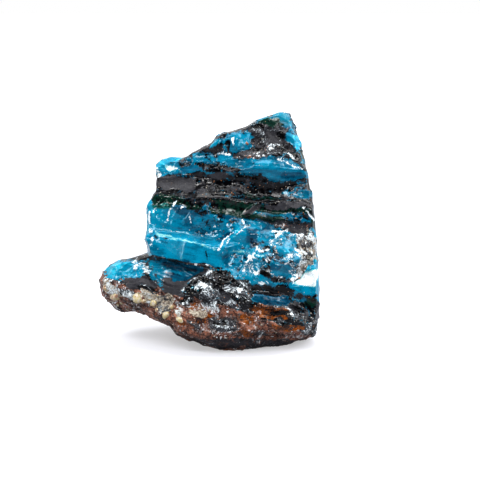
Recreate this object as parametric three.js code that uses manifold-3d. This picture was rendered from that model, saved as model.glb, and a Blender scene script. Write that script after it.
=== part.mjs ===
// A hand-sized rough opal standing on a broken foot, in millimetres, +Z up, seen from -Y.
// The stone is one closed skin. Its front and back are two broken faces inside one outline, joined by a
// bevelled edge band, and everything is laid out in the face's own frame: x to the right, h up the face and
// w out of it. The front is a height over (x, h): the lowest of a few fracture planes, hollows broken into
// it, domes standing out of it and the steps of the beds. A field of shallow shells then covers all sides.

import * as THREE from "three";
import { mergeVertices } from "three/addons/utils/BufferGeometryUtils.js";
import Module from "manifold-3d";

const FACE_LEAN_DEG = 12; // the face leans back by this much
const FOOT_DEPTH = 22; // from the face's origin down to the surface that the stone stands on
const GRID = { across: 84, deep: 20 }; // cells along the sides of the two faces, and through the edge band
const SMOOTHING_LIMIT = 0.17; // the grid's points are thinned out where the skin moves by less than this
const HEART = [-2, -5]; // x, h that the grid of a face spreads from
const CORNERS = [[-23, -9], [23, -16], [15.4, 38.7], [-17.5, 26.3]]; // towards the grid's four corners
const EDGE_SOFTNESS = 0.7; // how far a worn edge between two breaks is rounded
const BEVEL_POWER = { front: 1.6, back: 1.8 }; // how an edge band leaves the outline: 1 flat, 2 round

// The outline of the face, anticlockwise from the right foot: x, h, the w of the outermost line of the edge,
// and how far in from there the front and the back face begin.
const OUTLINE = [
  [19.8, -20.6, 0, 2.2, 6],
  [20.4, -16.4, 2, 1.2, 5],
  [20.5, -13, 3, 1, 4.4],
  [20.8, -9.2, 1, 1.2, 5.6],
  [20.2, -5.4, 2, 1, 6.6],
  [20.3, -2.3, 4, 0.8, 5.6],
  [19.9, 2, 3, 0.8, 4],
  [19.7, 6.3, 1.5, 1, 4.6],
  [19.1, 10, 3, 0.8, 5.4],
  [18.7, 14, 3, 0.8, 4.4],
  [17.9, 19, 1, 1.2, 3.4],
  [17.3, 22.5, 0, 2, 4],
  [15.9, 27.8, -1, 2.8, 2.5],
  [14.5, 32.1, -1.8, 2.2, 2],
  [13.4, 33.8, -2, 1.6, 1.6],
  [11.2, 33.9, -2, 1.2, 1.6],
  [8.4, 32.9, -1.2, 1, 2.4],
  [5.8, 31.9, -1.6, 1.2, 2.2],
  [3.1, 30.3, -0.4, 1, 3],
  [-3, 28.4, 0.4, 0.8, 3.6],
  [-5.6, 26.2, -1, 1.2, 2.8],
  [-7.5, 25.2, 0.4, 0.8, 3.6],
  [-12.8, 23, -1, 1.4, 3],
  [-16, 22.5, -1.4, 1, 3.4],
  [-19.5, 21.3, -3, 1.4, 2.6],
  [-19.2, 17.8, -1.4, 0.8, 3.6],
  [-19.8, 14.8, -2, 1, 3],
  [-21.5, 11.2, -0.4, 0.8, 4.4],
  [-21.4, 6.6, -1.6, 1.2, 4],
  [-21.8, 3.4, -0.4, 0.8, 4.6],
  [-21.4, -0.6, -1.4, 2, 4],
  [-25.2, -1.5, -0.6, 2.8, 3.4],
  [-28.2, -2.5, -0.4, 3.4, 3.6],
  [-30.4, -3.4, -0.4, 3.8, 4],
  [-32.4, -5.5, 0, 4.2, 4.4],
  [-33.2, -7.6, 0.4, 4.4, 4.6],
  [-31.9, -10.9, 0, 4, 4.4],
  [-29, -13.9, 0.4, 3.4, 4],
  [-27.2, -15, 0.6, 2.8, 4],
  [-24, -14.7, 0, 2.6, 4.4],
  [-19.9, -17.2, 1.4, 2.2, 4.8],
  [-15.2, -18.3, 0.8, 2.4, 4.2],
  [-13.6, -20.5, 2.4, 2, 4.6],
  [-11.1, -21.8, 2, 2.6, 4],
  [-7.9, -22.6, 3.4, 2.2, 3.6],
  [-4.7, -23.8, 3.6, 2.6, 3.8],
  [-1, -24.2, 4.8, 2.2, 3.4],
  [5.1, -23.4, 3.6, 2.6, 3.4],
  [11.5, -22.9, 3.2, 2.2, 3.8],
  [17.4, -21.8, 1.4, 2.2, 4.6],
];

// The fractures that bound the two faces: a point x, h, w on each plane and its outward normal.
const FRONT_PLANES = {
  upper: { point: [0, 0, 10], normal: [0.04, 0.22, 1] },
  upperLeft: { point: [-19, 12, 4.4], normal: [-0.34, 0.3, 1] },
  upperRight: { point: [17, 12, 6.4], normal: [0.5, 0.2, 1] },
  peak: { point: [10, 29, 2.8], normal: [0.08, 0.42, 1] },
  base: { point: [-2, -12, 12.4], normal: [-0.02, -0.14, 1] },
  baseUnder: { point: [0, -20.5, 9.6], normal: [0.1, -0.85, 0.7] },
  baseRight: { point: [14, -15, 9.8], normal: [0.34, -0.05, 1] },
  lobe: { point: [-26, -8, 4.6], normal: [-0.5, 0.06, 1] },
};
const BACK_PLANES = {
  back: { point: [0, -8, -13], normal: [0.05, 0.2, -0.97] },
  left: { point: [-18, -4, -10], normal: [-0.42, 0.2, -0.9] },
  right: { point: [17, -2, -11], normal: [0.5, 0.12, -0.83] },
  foot: { point: [0, -19, -11.5], normal: [0.05, -0.6, -0.8] },
  topSlope: { point: [-4, 27.8, -3], normal: [-0.3, 0.72, -0.62] },
};

// Breaks in the front: the middle x, h, the half-length and half-width, the depth, the turn in degrees, a
// lean that makes the upper part of the floor deeper where it is positive, and the beds it keeps to.
const HOLLOWS = {
  bowlUnderLedge: { at: [-13.6, -5], half: [8, 5.4], depth: 3, turn: -10, lean: 0.2, beds: [-40, -5.8] },
  hollowOverLedge: { at: [-9, 4.2], half: [13.5, 5.6], depth: 2, turn: -9, lean: -0.2, beds: [0.7, 40] },
  greenBed: { at: [3, 9.4], half: [17, 2.6], depth: 0.8, turn: -6, lean: 0.2, beds: [8, 40] },
  blackBed: { at: [-4, 14.6], half: [19, 4.6], depth: 1.4, turn: -2, lean: 0.1, beds: [12, 18.6] },
  blackChip: { at: [9.4, 25.6], half: [6, 3.6], depth: 1.7, turn: -20, lean: 0.4, beds: [22, 40] },
  cornerFacet: { at: [-16.4, 18.8], half: [4.4, 3], depth: 1.2, turn: 24, lean: 0.7, beds: [17, 40] },
  tealStep: { at: [-8, 21.6], half: [7, 2.6], depth: 1, turn: 16, lean: 0.2, beds: [18.6, 40] },
  moundTop: { at: [9.6, 6], half: [9, 2.8], depth: 1.5, turn: -8, lean: -0.2, beds: [-40, 9] },
  moundLeft: { at: [0.2, -2], half: [2.8, 4.6], depth: 1.4, turn: -28, lean: 0, beds: [-40, 40] },
  whiteFacet: { at: [16, -5.2], half: [6, 3.2], depth: 1.9, turn: 6, lean: 0.6, beds: [-5.2, 40] },
  blackLayer: { at: [9.6, -9.2], half: [9, 2.4], depth: 1.2, turn: -4, lean: 0.3, beds: [-9.4, -6.4] },
  rustHollow: { at: [8.2, -14], half: [6.4, 2.6], depth: 1.2, turn: -4, lean: 0.2, beds: [-40, -10.6] },
  baseCleft: { at: [7.4, -19.4], half: [3, 3.4], depth: 1, turn: -20, lean: 0, beds: [-40, 40] },
  neckNotch: { at: [-14.6, -13.4], half: [2.6, 3.6], depth: 1.4, turn: 20, lean: 0, beds: [-40, 40] },
  lobeBreak: { at: [-24.4, -5], half: [4.6, 2.8], depth: 1.2, turn: 8, lean: 0.3, beds: [-40, 40] },
  lobeUnder: { at: [-25.6, -12], half: [4.4, 2.6], depth: 1.1, turn: -18, lean: -0.3, beds: [-40, 40] },
};

// Domes on the front, with a height; a lean makes the upper part higher where it is positive.
const DOMES = {
  mound: { at: [9.2, -1.6], half: [7.2, 5.6], depth: 1.9, turn: 10, lean: 0, beds: [-40, 40] },
  darkBlock: { at: [-3, -9], half: [7.4, 4.8], depth: 1.8, turn: 14, lean: 0.3, beds: [-40, -5.6] },
  slantRidge: { at: [0.6, 3.2], half: [7.4, 3.2], depth: 1.1, turn: 34, lean: 0.4, beds: [-40, 40] },
  blueLens: { at: [9.6, 18.8], half: [9.4, 3.4], depth: 1, turn: -7, lean: 0.5, beds: [-40, 22] },
  blueBlock: { at: [0.6, 25.6], half: [4.4, 3], depth: 1, turn: 14, lean: 0.2, beds: [-40, 40] },
  baseKnobLeft: { at: [-10.4, -16.6], half: [4.4, 3.4], depth: 1.5, turn: 20, lean: 0, beds: [-40, 40] },
  baseKnobMiddle: { at: [0.4, -18.2], half: [6, 3.2], depth: 1.4, turn: -6, lean: 0.2, beds: [-40, 40] },
  baseKnobRight: { at: [14, -17.4], half: [5.6, 3], depth: 1.2, turn: 8, lean: 0, beds: [-40, 40] },
  lobeBack: { at: [-27, -8], half: [8.6, 7], depth: 3, turn: -8, lean: -0.1, beds: [-40, 40] },
};
const BED_EDGE = 0.8; // how wide the step is where a break stops at a bed

// The beds cross the stone at a slope that flattens upwards, so a bed is known by a number s, which is the
// height of its line at x = 0. The beds stand in and out of the face by this much: s, relief.
const BED_DIP = 0.2;
const BED_FLATTENING = 0.01;
const BED_RELIEF = [
  [-30, 0],
  [-12, 0],
  [-10.4, 0.3],
  [-6.6, -0.2],
  [-5.2, 0.5],
  [0.2, 0.6],
  [1.4, -0.2],
  [8, -0.2],
  [9.2, 0.3],
  [11.6, 0.3],
  [12.8, -0.3],
  [18, -0.4],
  [19.4, 0.2],
  [22, 0.2],
  [23.6, -0.2],
  [60, -0.2],
];

// Large flakes broken off the sides, the back and the edges: the middle x, h, w, the reach along each axis
// and the depth.
const FLAKES = {
  rightMiddle: { at: [20.5, 8, -3], reach: [8, 8, 7], depth: 1.8 },
  rightFoot: { at: [21, -11, -6], reach: [8, 6, 7], depth: 1.7 },
  rightShoulder: { at: [17, 23, -4], reach: [6, 6, 5], depth: 1.1 },
  leftEdge: { at: [-21, 9, -4], reach: [6, 7, 6], depth: 1.5 },
  neckBack: { at: [-20, -3, -8], reach: [6, 5, 6], depth: 1.6 },
  backTop: { at: [5, 15, -8], reach: [11, 8, 8], depth: 2.2 },
  backMiddle: { at: [-8, 0, -11.4], reach: [9, 6, 8], depth: 2 },
  backRight: { at: [12, -7, -12], reach: [7, 6, 7], depth: 1.8 },
  backFoot: { at: [-4, -15, -12], reach: [9, 5, 6], depth: 1.6 },
  backLeft: { at: [-14, 14, -6], reach: [6, 6, 6], depth: 1.3 },
  lobeBack: { at: [-28, -7, -6], reach: [6, 5, 6], depth: 1.3 },
  lobeTop: { at: [-27, -2, -3], reach: [5, 4, 5], depth: 0.8 },
  topEdge: { at: [-10, 24, -3], reach: [6, 4, 5], depth: 0.9 },
  underside: { at: [-18, -17, -1], reach: [6, 4, 6], depth: 1.2 },
};

// The shells that cover all sides: the size of the cells along a bed, across it and through the stone, how
// much the lowest point of a shell wanders, how uneven the shells are, and how high their ridges stand out.
const SHELLS = { cell: [9.5, 6.5, 8], lean: 1, unevenness: 0.9, height: 1.8 };

const EDGE_SHARE = 0.5; // the share of the shells' height that the outline keeps

const degrees = THREE.MathUtils.degToRad;
const mix = (a, b, share) => a + (b - a) * share;
const dot = (a, b) => a.reduce((sum, v, i) => sum + v * b[i], 0);
const softMin = (a, b, width) => {
  const near = Math.max(width - Math.abs(a - b), 0) / width;
  return Math.min(a, b) - (near * near * width) / 4;
};
const softMax = (a, b, width) => -softMin(-a, -b, width);

// A whole number's worth of scatter between 0 and 1 for a cell of space.
function scatter(i, j, k, channel) {
  const v = Math.sin(i * 127.1 + j * 311.7 + k * 74.7 + channel * 53.9) * 43758.5453;
  return v - Math.floor(v);
}

// A line through the rows [place, value], read at a place.
function readTable(rows, place) {
  const next = rows.findIndex((row) => row[0] >= place);
  if (next <= 0) return rows[next === 0 ? 0 : rows.length - 1][1];
  const [a, b] = [rows[next - 1], rows[next]];
  return mix(a[1], b[1], (place - a[0]) / (b[0] - a[0]));
}

// The outline in a direction from the heart: how far out it is, then the rest of its row, all in between
// the two rows on either side.
function outlineAt(x, h) {
  for (let i = 0; i < OUTLINE.length; i++) {
    const [a, b] = [OUTLINE[i], OUTLINE[(i + 1) % OUTLINE.length]];
    const [ax, ah] = [a[0] - HEART[0], a[1] - HEART[1]];
    const [bx, bh] = [b[0] - HEART[0], b[1] - HEART[1]];
    const [fromA, toB] = [ax * h - ah * x, x * bh - h * bx];
    if (fromA < 0 || toB < 0) continue;
    const share = fromA / (fromA + toB);
    const radius = Math.hypot(mix(ax, bx, share), mix(ah, bh, share));
    return { radius, rest: a.slice(2).map((v, k) => mix(v, b[k + 2], share)) };
  }
  throw new Error(`the outline is open towards ${x}, ${h}`);
}

// How far out a plane is at a place on the face.
const planeHeight = ({ point, normal }, x, h) =>
  point[2] - (normal[0] * (x - point[0]) + normal[1] * (h - point[1])) / normal[2];

const bedAt = (x, h) => h + (BED_DIP - BED_FLATTENING * h) * x;

// The depth of a hollow or height of a dome at a place: a cap that is nothing along its oval rim, and
// outside its beds.
function capAt({ at, half, depth, turn, lean, beds }, x, h) {
  const angle = degrees(turn);
  const along = ((x - at[0]) * Math.cos(angle) + (h - at[1]) * Math.sin(angle)) / half[0];
  const up = ((h - at[1]) * Math.cos(angle) - (x - at[0]) * Math.sin(angle)) / half[1];
  const bed = bedAt(x, h);
  const inBeds = Math.min((bed - beds[0]) / BED_EDGE, (beds[1] - bed) / BED_EDGE);
  const share = THREE.MathUtils.clamp(inBeds, 0, 1);
  return share * depth * Math.max(0, 1 - along * along - up * up) * (1 + lean * up);
}

function frontHeight(x, h) {
  const planes = Object.values(FRONT_PLANES).map((plane) => planeHeight(plane, x, h));
  const hollows = Object.values(HOLLOWS).map((hollow) => capAt(hollow, x, h));
  const domes = Object.values(DOMES).map((dome) => capAt(dome, x, h));
  const face = planes.reduce((a, b) => softMin(a, b, EDGE_SOFTNESS));
  return face + Math.max(...domes) - Math.max(...hollows) + readTable(BED_RELIEF, bedAt(x, h));
}

function backHeight(x, h) {
  const planes = Object.values(BACK_PLANES).map((plane) => planeHeight(plane, x, h));
  return planes.reduce((a, b) => softMax(a, b, EDGE_SOFTNESS));
}

// Shells that meet in ridges: the least, over the cells around, of a bowl about a point scattered in each.
function shellsAt([x, h, w]) {
  const place = [x, bedAt(x, h), w].map((v, axis) => v / SHELLS.cell[axis]);
  const home = place.map(Math.floor);
  let least = Infinity;
  for (let n = 0; n < 27; n++) {
    const cell = [home[0] + (n % 3) - 1, home[1] + (Math.floor(n / 3) % 3) - 1, home[2] + Math.floor(n / 9) - 1];
    const away = place.map((v, axis) => v - cell[axis] - 0.2 - 0.6 * scatter(...cell, axis));
    const lean = away.map((v, axis) => (scatter(...cell, axis + 3) - 0.5) * SHELLS.lean);
    const start = SHELLS.unevenness * scatter(...cell, 6);
    least = Math.min(least, dot(away, away) + dot(away, lean) + start);
  }
  return (least - 0.5) * SHELLS.height;
}

// How deep the flakes reach into a place; where they cross, the deeper one counts.
function flakesAt(place) {
  const depths = Object.values(FLAKES).map(({ at, reach, depth }) => {
    const away = place.map((v, axis) => (v - at[axis]) / reach[axis]);
    return depth * (1 - dot(away, away));
  });
  return Math.max(0, ...depths);
}

// The way the shells stand out: the normal of an oval body about the stone.
const outward = ([x, h, w]) => new THREE.Vector3(x / 26 ** 2, (h - 3) / 28 ** 2, (w + 1) / 9 ** 2).normalize();

// A point of the skin for a point a, b, c of a box that reaches from -1 to 1: c is 1 on the front face.
function skinPoint([a, b, c]) {
  const spread = Math.max(Math.abs(a), Math.abs(b));
  const [u, v] = spread > 0 ? [a / spread, b / spread] : [1, 0];
  const weights = [(1 - u) * (1 - v), (1 + u) * (1 - v), (1 + u) * (1 + v), (1 - u) * (1 + v)];
  const towards = [0, 1].map((axis) => dot(weights, CORNERS.map((corner) => corner[axis])));
  const length = Math.hypot(...towards);
  const { radius, rest } = outlineAt(...towards.map((t) => t / length));
  const [crest, frontBevel, backBevel] = rest;
  const [bevel, power] = c > 0 ? [frontBevel, BEVEL_POWER.front] : [backBevel, BEVEL_POWER.back];
  const at = (reach) => towards.map((t, axis) => HEART[axis] + (t / length) * reach);
  const height = c > 0 ? frontHeight : backHeight;
  const inner = radius - bevel;
  const onFace = Math.abs(c) === 1;
  const [x, h] = at(onFace ? inner * spread : radius - bevel * Math.abs(c) ** power);
  const w = onFace ? height(x, h) : mix(crest, height(...at(inner)), Math.abs(c));
  const relief = shellsAt([x, h, w]) * mix(EDGE_SHARE, 1, Math.abs(c)) - flakesAt([x, h, w]);
  return outward([x, h, w]).multiplyScalar(relief).add(new THREE.Vector3(x, h, w));
}

function makeSkin() {
  const skin = new THREE.BoxGeometry(2, 2, 2, GRID.across, GRID.across, GRID.deep);
  skin.deleteAttribute("normal");
  skin.deleteAttribute("uv");
  const place = skin.getAttribute("position");
  for (let i = 0; i < place.count; i++) {
    place.setXYZ(i, ...skinPoint([place.getX(i), place.getY(i), place.getZ(i)]).toArray());
  }
  return mergeVertices(skin);
}

// Turns the face frame to stand on the ground: x stays, h leans back and w comes forward, along -Y.
function standUp(geometry) {
  const lean = degrees(FACE_LEAN_DEG);
  const toPart = new THREE.Matrix4().set(
    1, 0, 0, 0,
    0, Math.sin(lean), -Math.cos(lean), 0,
    0, Math.cos(lean), Math.sin(lean), FOOT_DEPTH,
    0, 0, 0, 1,
  );
  return geometry.applyMatrix4(toPart);
}

// The foot is a flat break: everything under the ground plane is cut away. Then the skin is thinned out.
async function cutFoot(geometry) {
  const wasm = await Module();
  wasm.setup();
  const toSolid = (g) =>
    new wasm.Manifold(
      new wasm.Mesh({
        numProp: 3,
        vertProperties: g.getAttribute("position").array,
        triVerts: new Uint32Array(g.index.array),
      }),
    );
  const ground = new THREE.BoxGeometry(200, 200, 50).translate(0, 0, -25);
  ground.deleteAttribute("normal");
  ground.deleteAttribute("uv");
  const whole = toSolid(geometry).subtract(toSolid(mergeVertices(ground)));
  const cut = whole.simplify(SMOOTHING_LIMIT).getMesh();
  return new THREE.BufferGeometry()
    .setAttribute("position", new THREE.BufferAttribute(new Float32Array(cut.vertProperties), 3))
    .setIndex(new THREE.BufferAttribute(new Uint32Array(cut.triVerts), 1));
}

// The origin is under the middle of the stone's box, on the ground.
function centre(geometry) {
  geometry.computeBoundingBox();
  const { min, max } = geometry.boundingBox;
  return geometry.translate(-(min.x + max.x) / 2, -(min.y + max.y) / 2, -min.z);
}

const stone = new THREE.Mesh(
  centre(await cutFoot(standUp(makeSkin()))),
  new THREE.MeshStandardMaterial({ color: 0x0d86ad, roughness: 0.15, metalness: 0 }),
);
stone.name = "opal_stone";

const specimen = new THREE.Group();
specimen.add(stone);

export default specimen;
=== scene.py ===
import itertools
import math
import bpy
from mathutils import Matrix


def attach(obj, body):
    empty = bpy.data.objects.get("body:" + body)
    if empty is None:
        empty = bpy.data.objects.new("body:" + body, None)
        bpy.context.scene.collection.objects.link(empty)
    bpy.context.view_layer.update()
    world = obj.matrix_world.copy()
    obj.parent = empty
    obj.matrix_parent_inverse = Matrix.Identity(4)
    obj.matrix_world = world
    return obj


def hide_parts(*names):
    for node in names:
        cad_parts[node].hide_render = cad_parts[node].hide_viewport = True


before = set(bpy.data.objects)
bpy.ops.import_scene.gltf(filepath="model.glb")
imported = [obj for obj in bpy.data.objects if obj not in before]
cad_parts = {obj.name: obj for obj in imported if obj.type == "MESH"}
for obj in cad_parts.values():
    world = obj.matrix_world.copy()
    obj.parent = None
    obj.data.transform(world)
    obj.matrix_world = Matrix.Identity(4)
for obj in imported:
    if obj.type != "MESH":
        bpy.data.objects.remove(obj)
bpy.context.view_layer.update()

# Dresses a rough banded opal, laid out as an add-on: the stone's fine skin, the quartz grains that sit on
# it, and the stage. The stone is worked out in the frame of its broken face, in millimetres: x to the
# right, h up the face and w out of it.

from types import SimpleNamespace

import bpy
import numpy as np
from bpy.props import FloatProperty, FloatVectorProperty, IntProperty, PointerProperty
from mathutils import Vector

bl_info = {
    "name": "Rough Opal",
    "version": (1, 0, 0),
    "blender": (4, 5, 0),
    "location": "3D View > Sidebar > Opal",
    "description": "A rough banded opal on its matrix, with quartz grains and a plain studio",
    "category": "Mesh",
}

MM = 0.001
TINY = 1e-12  # stands in for 0 where something is divided by it
STONE_NODE = "opal_stone"

# ---------------------------------------------------------------- the stone's form

HEART = np.array([-2.0, -5.0])  # x, h that the grid of a face spreads from
CORNERS = np.array([[-23, -9], [23, -16], [15.4, 38.7], [-17.5, 26.3]])  # from there to the grid's corners
BEVEL_POWER = {"front": 1.6, "back": 1.8}  # how an edge band leaves the outline: 1 flat, 2 round
OVAL_MIDDLE, OVAL_HALF = np.array([0, 3, -1]), np.array([26, 28, 9])  # the body that relief stands out from

# The outline of the face, anticlockwise from the right foot: x, h, the w of the outermost line of the edge,
# and how far in from there the front and the back face begin.
OUTLINE = np.array([
    [19.8, -20.6, 0, 2.2, 6],
    [20.4, -16.4, 2, 1.2, 5],
    [20.5, -13, 3, 1, 4.4],
    [20.8, -9.2, 1, 1.2, 5.6],
    [20.2, -5.4, 2, 1, 6.6],
    [20.3, -2.3, 4, 0.8, 5.6],
    [19.9, 2, 3, 0.8, 4],
    [19.7, 6.3, 1.5, 1, 4.6],
    [19.1, 10, 3, 0.8, 5.4],
    [18.7, 14, 3, 0.8, 4.4],
    [17.9, 19, 1, 1.2, 3.4],
    [17.3, 22.5, 0, 2, 4],
    [15.9, 27.8, -1, 2.8, 2.5],
    [14.5, 32.1, -1.8, 2.2, 2],
    [13.4, 33.8, -2, 1.6, 1.6],
    [11.2, 33.9, -2, 1.2, 1.6],
    [8.4, 32.9, -1.2, 1, 2.4],
    [5.8, 31.9, -1.6, 1.2, 2.2],
    [3.1, 30.3, -0.4, 1, 3],
    [-3, 28.4, 0.4, 0.8, 3.6],
    [-5.6, 26.2, -1, 1.2, 2.8],
    [-7.5, 25.2, 0.4, 0.8, 3.6],
    [-12.8, 23, -1, 1.4, 3],
    [-16, 22.5, -1.4, 1, 3.4],
    [-19.5, 21.3, -3, 1.4, 2.6],
    [-19.2, 17.8, -1.4, 0.8, 3.6],
    [-19.8, 14.8, -2, 1, 3],
    [-21.5, 11.2, -0.4, 0.8, 4.4],
    [-21.4, 6.6, -1.6, 1.2, 4],
    [-21.8, 3.4, -0.4, 0.8, 4.6],
    [-21.4, -0.6, -1.4, 2, 4],
    [-25.2, -1.5, -0.6, 2.8, 3.4],
    [-28.2, -2.5, -0.4, 3.4, 3.6],
    [-30.4, -3.4, -0.4, 3.8, 4],
    [-32.4, -5.5, 0, 4.2, 4.4],
    [-33.2, -7.6, 0.4, 4.4, 4.6],
    [-31.9, -10.9, 0, 4, 4.4],
    [-29, -13.9, 0.4, 3.4, 4],
    [-27.2, -15, 0.6, 2.8, 4],
    [-24, -14.7, 0, 2.6, 4.4],
    [-19.9, -17.2, 1.4, 2.2, 4.8],
    [-15.2, -18.3, 0.8, 2.4, 4.2],
    [-13.6, -20.5, 2.4, 2, 4.6],
    [-11.1, -21.8, 2, 2.6, 4],
    [-7.9, -22.6, 3.4, 2.2, 3.6],
    [-4.7, -23.8, 3.6, 2.6, 3.8],
    [-1, -24.2, 4.8, 2.2, 3.4],
    [5.1, -23.4, 3.6, 2.6, 3.4],
    [11.5, -22.9, 3.2, 2.2, 3.8],
    [17.4, -21.8, 1.4, 2.2, 4.6],
])

# The fractures that bound the two faces: a point x, h, w on each plane and its outward normal.
FRONT_PLANES = [
    ((0, 0, 10), (0.04, 0.22, 1)),
    ((-19, 12, 4.4), (-0.34, 0.3, 1)),
    ((17, 12, 6.4), (0.5, 0.2, 1)),
    ((10, 29, 2.8), (0.08, 0.42, 1)),
    ((-2, -12, 12.4), (-0.02, -0.14, 1)),
    ((0, -20.5, 9.6), (0.1, -0.85, 0.7)),
    ((14, -15, 9.8), (0.34, -0.05, 1)),
    ((-26, -8, 4.6), (-0.5, 0.06, 1)),
]
BACK_PLANES = [
    ((0, -8, -13), (0.05, 0.2, -0.97)),
    ((-18, -4, -10), (-0.42, 0.2, -0.9)),
    ((17, -2, -11), (0.5, 0.12, -0.83)),
    ((0, -19, -11.5), (0.05, -0.6, -0.8)),
    ((-4, 27.8, -3), (-0.3, 0.72, -0.62)),
]

# Breaks in the front and domes on it: the middle x, h, the half-length and half-width, the depth or height,
# the turn in degrees, a lean that makes the upper part deeper or higher, and the beds it keeps to.
ANY_BED = (-40, 40)
HOLLOWS = {
    "bowl under the ledge": (-13.6, -5, 8, 5.4, 3, -10, 0.2, (-40, -5.8)),
    "hollow over the ledge": (-9, 4.2, 13.5, 5.6, 2, -9, -0.2, (0.7, 40)),
    "green bed": (3, 9.4, 17, 2.6, 0.8, -6, 0.2, (8, 40)),
    "black bed": (-4, 14.6, 19, 4.6, 1.4, -2, 0.1, (12, 18.6)),
    "black chip": (9.4, 25.6, 6, 3.6, 1.7, -20, 0.4, (22, 40)),
    "corner facet": (-16.4, 18.8, 4.4, 3, 1.2, 24, 0.7, (17, 40)),
    "teal step": (-8, 21.6, 7, 2.6, 1, 16, 0.2, (18.6, 40)),
    "over the mound": (9.6, 6, 9, 2.8, 1.5, -8, -0.2, (-40, 9)),
    "left of the mound": (0.2, -2, 2.8, 4.6, 1.4, -28, 0, ANY_BED),
    "white facet": (16, -5.2, 6, 3.2, 1.9, 6, 0.6, (-5.2, 40)),
    "black layer": (9.6, -9.2, 9, 2.4, 1.2, -4, 0.3, (-9.4, -6.4)),
    "rust hollow": (8.2, -14, 6.4, 2.6, 1.2, -4, 0.2, (-40, -10.6)),
    "base cleft": (7.4, -19.4, 3, 3.4, 1, -20, 0, ANY_BED),
    "neck notch": (-14.6, -13.4, 2.6, 3.6, 1.4, 20, 0, ANY_BED),
    "lobe break": (-24.4, -5, 4.6, 2.8, 1.2, 8, 0.3, ANY_BED),
    "under the lobe": (-25.6, -12, 4.4, 2.6, 1.1, -18, -0.3, ANY_BED),
}
DOMES = {
    "mound": (9.2, -1.6, 7.2, 5.6, 1.9, 10, 0, ANY_BED),
    "dark block": (-3, -9, 7.4, 4.8, 1.8, 14, 0.3, (-40, -5.6)),
    "slant ridge": (0.6, 3.2, 7.4, 3.2, 1.1, 34, 0.4, ANY_BED),
    "blue lens": (9.6, 18.8, 9.4, 3.4, 1, -7, 0.5, (-40, 22)),
    "blue block": (0.6, 25.6, 4.4, 3, 1, 14, 0.2, ANY_BED),
    "base knob left": (-10.4, -16.6, 4.4, 3.4, 1.5, 20, 0, ANY_BED),
    "base knob middle": (0.4, -18.2, 6, 3.2, 1.4, -6, 0.2, ANY_BED),
    "base knob right": (14, -17.4, 5.6, 3, 1.2, 8, 0, ANY_BED),
    "back of the lobe": (-27, -8, 8.6, 7, 3, -8, -0.1, ANY_BED),
}

# The beds cross the stone at a slope that flattens upwards, so a bed is known by a number s, which is the
# height of its line at x = 0. They stand in and out of the face by this much: s, relief.
BED_DIP, BED_FLATTENING = 0.2, 0.01
BED_RELIEF = np.array([
    [-30, 0], [-12, 0], [-10.4, 0.3], [-6.6, -0.2], [-5.2, 0.5], [0.2, 0.6], [1.4, -0.2], [8, -0.2],
    [9.2, 0.3], [11.6, 0.3], [12.8, -0.3], [18, -0.4], [19.4, 0.2], [22, 0.2], [23.6, -0.2], [60, -0.2],
])

# Large flakes broken off the sides, the back and the edges: the middle x, h, w, the reach along each axis
# and the depth.
FLAKES = {
    "right middle": ((20.5, 8, -3), (8, 8, 7), 1.8),
    "right foot": ((21, -11, -6), (8, 6, 7), 1.7),
    "right shoulder": ((17, 23, -4), (6, 6, 5), 1.1),
    "left edge": ((-21, 9, -4), (6, 7, 6), 1.5),
    "neck, behind": ((-20, -3, -8), (6, 5, 6), 1.6),
    "back, top": ((5, 15, -8), (11, 8, 8), 2.2),
    "back, middle": ((-8, 0, -11.4), (9, 6, 8), 2),
    "back, right": ((12, -7, -12), (7, 6, 7), 1.8),
    "back, foot": ((-4, -15, -12), (9, 5, 6), 1.6),
    "back, left": ((-14, 14, -6), (6, 6, 6), 1.3),
    "lobe, behind": ((-28, -7, -6), (6, 5, 6), 1.3),
    "lobe, top": ((-27, -2, -3), (5, 4, 5), 0.8),
    "top edge": ((-10, 24, -3), (6, 4, 5), 0.9),
    "underside": ((-18, -17, -1), (6, 4, 6), 1.2),
}
# Clean breaks, where the face is one smooth surface: the middle x, h, the half-length and half-width and
# the turn in degrees.
CLEAN_BREAKS = [
    (-9, -0.8, 13, 3.4, -10),
    (10.6, 19.2, 9, 3.2, -8),
    (-13.6, -5.6, 7.5, 3.4, -10),
    (-13.6, 16.3, 7, 2.6, -4),
    (-14, 8, 6, 3, -20),
    (-3, 21.4, 8, 2.2, -6),
]
CLEANNESS = 0.75  # how much of the small relief is missing there
CLEAN_RIM = 0.5  # how far in from a clean break's rim it is whole, in half-widths squared

# The coarse shells: the size of their cells along x, the bed and w, how far they lean, how unevenly they
# lie, their mean depth before scaling and their height in mm.
SHELL_CELL, SHELL_LEAN, SHELL_UNEVENNESS, SHELL_MEAN, SHELL_HEIGHT = (9.5, 6.5, 8), 1.0, 0.9, 0.5, 1.8
EDGE_SHARE = 0.5  # the share of the shells' height that the outline keeps
FRONT_EDGE = (-2, 1)  # the w between which the clean breaks and the ridges of the face begin

SCATTER_STEPS = np.array([127.1, 311.7, 74.7])  # how far a step along each axis turns the sine of a scatter
SCATTER_CHANNEL, SCATTER_SCALE = 53.9, 43758.5453
CELL_MARGIN = 0.2  # how far a shell's lowest point stays from the sides of its cell, in cells


def soft_min(a, b, width):
    """The lesser of two heights, with a round of the given width where they cross."""
    near = np.maximum(width - np.abs(a - b), 0) / width
    return np.minimum(a, b) - near * near * width / 4


def smooth_step(value, low, high):
    """From 0 at low to 1 at high, eased at both ends."""
    t = np.clip((value - low) / (high - low), 0, 1)
    return t * t * (3 - 2 * t)


def scatter(cell, channel):
    """A number from 0 to 1 for each cell of space: the fraction of a large multiple of a sine. Each use has
    a channel of its own, so no two patterns are alike."""
    v = np.sin(cell @ SCATTER_STEPS + channel * SCATTER_CHANNEL) * SCATTER_SCALE
    return v - np.floor(v)


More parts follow.
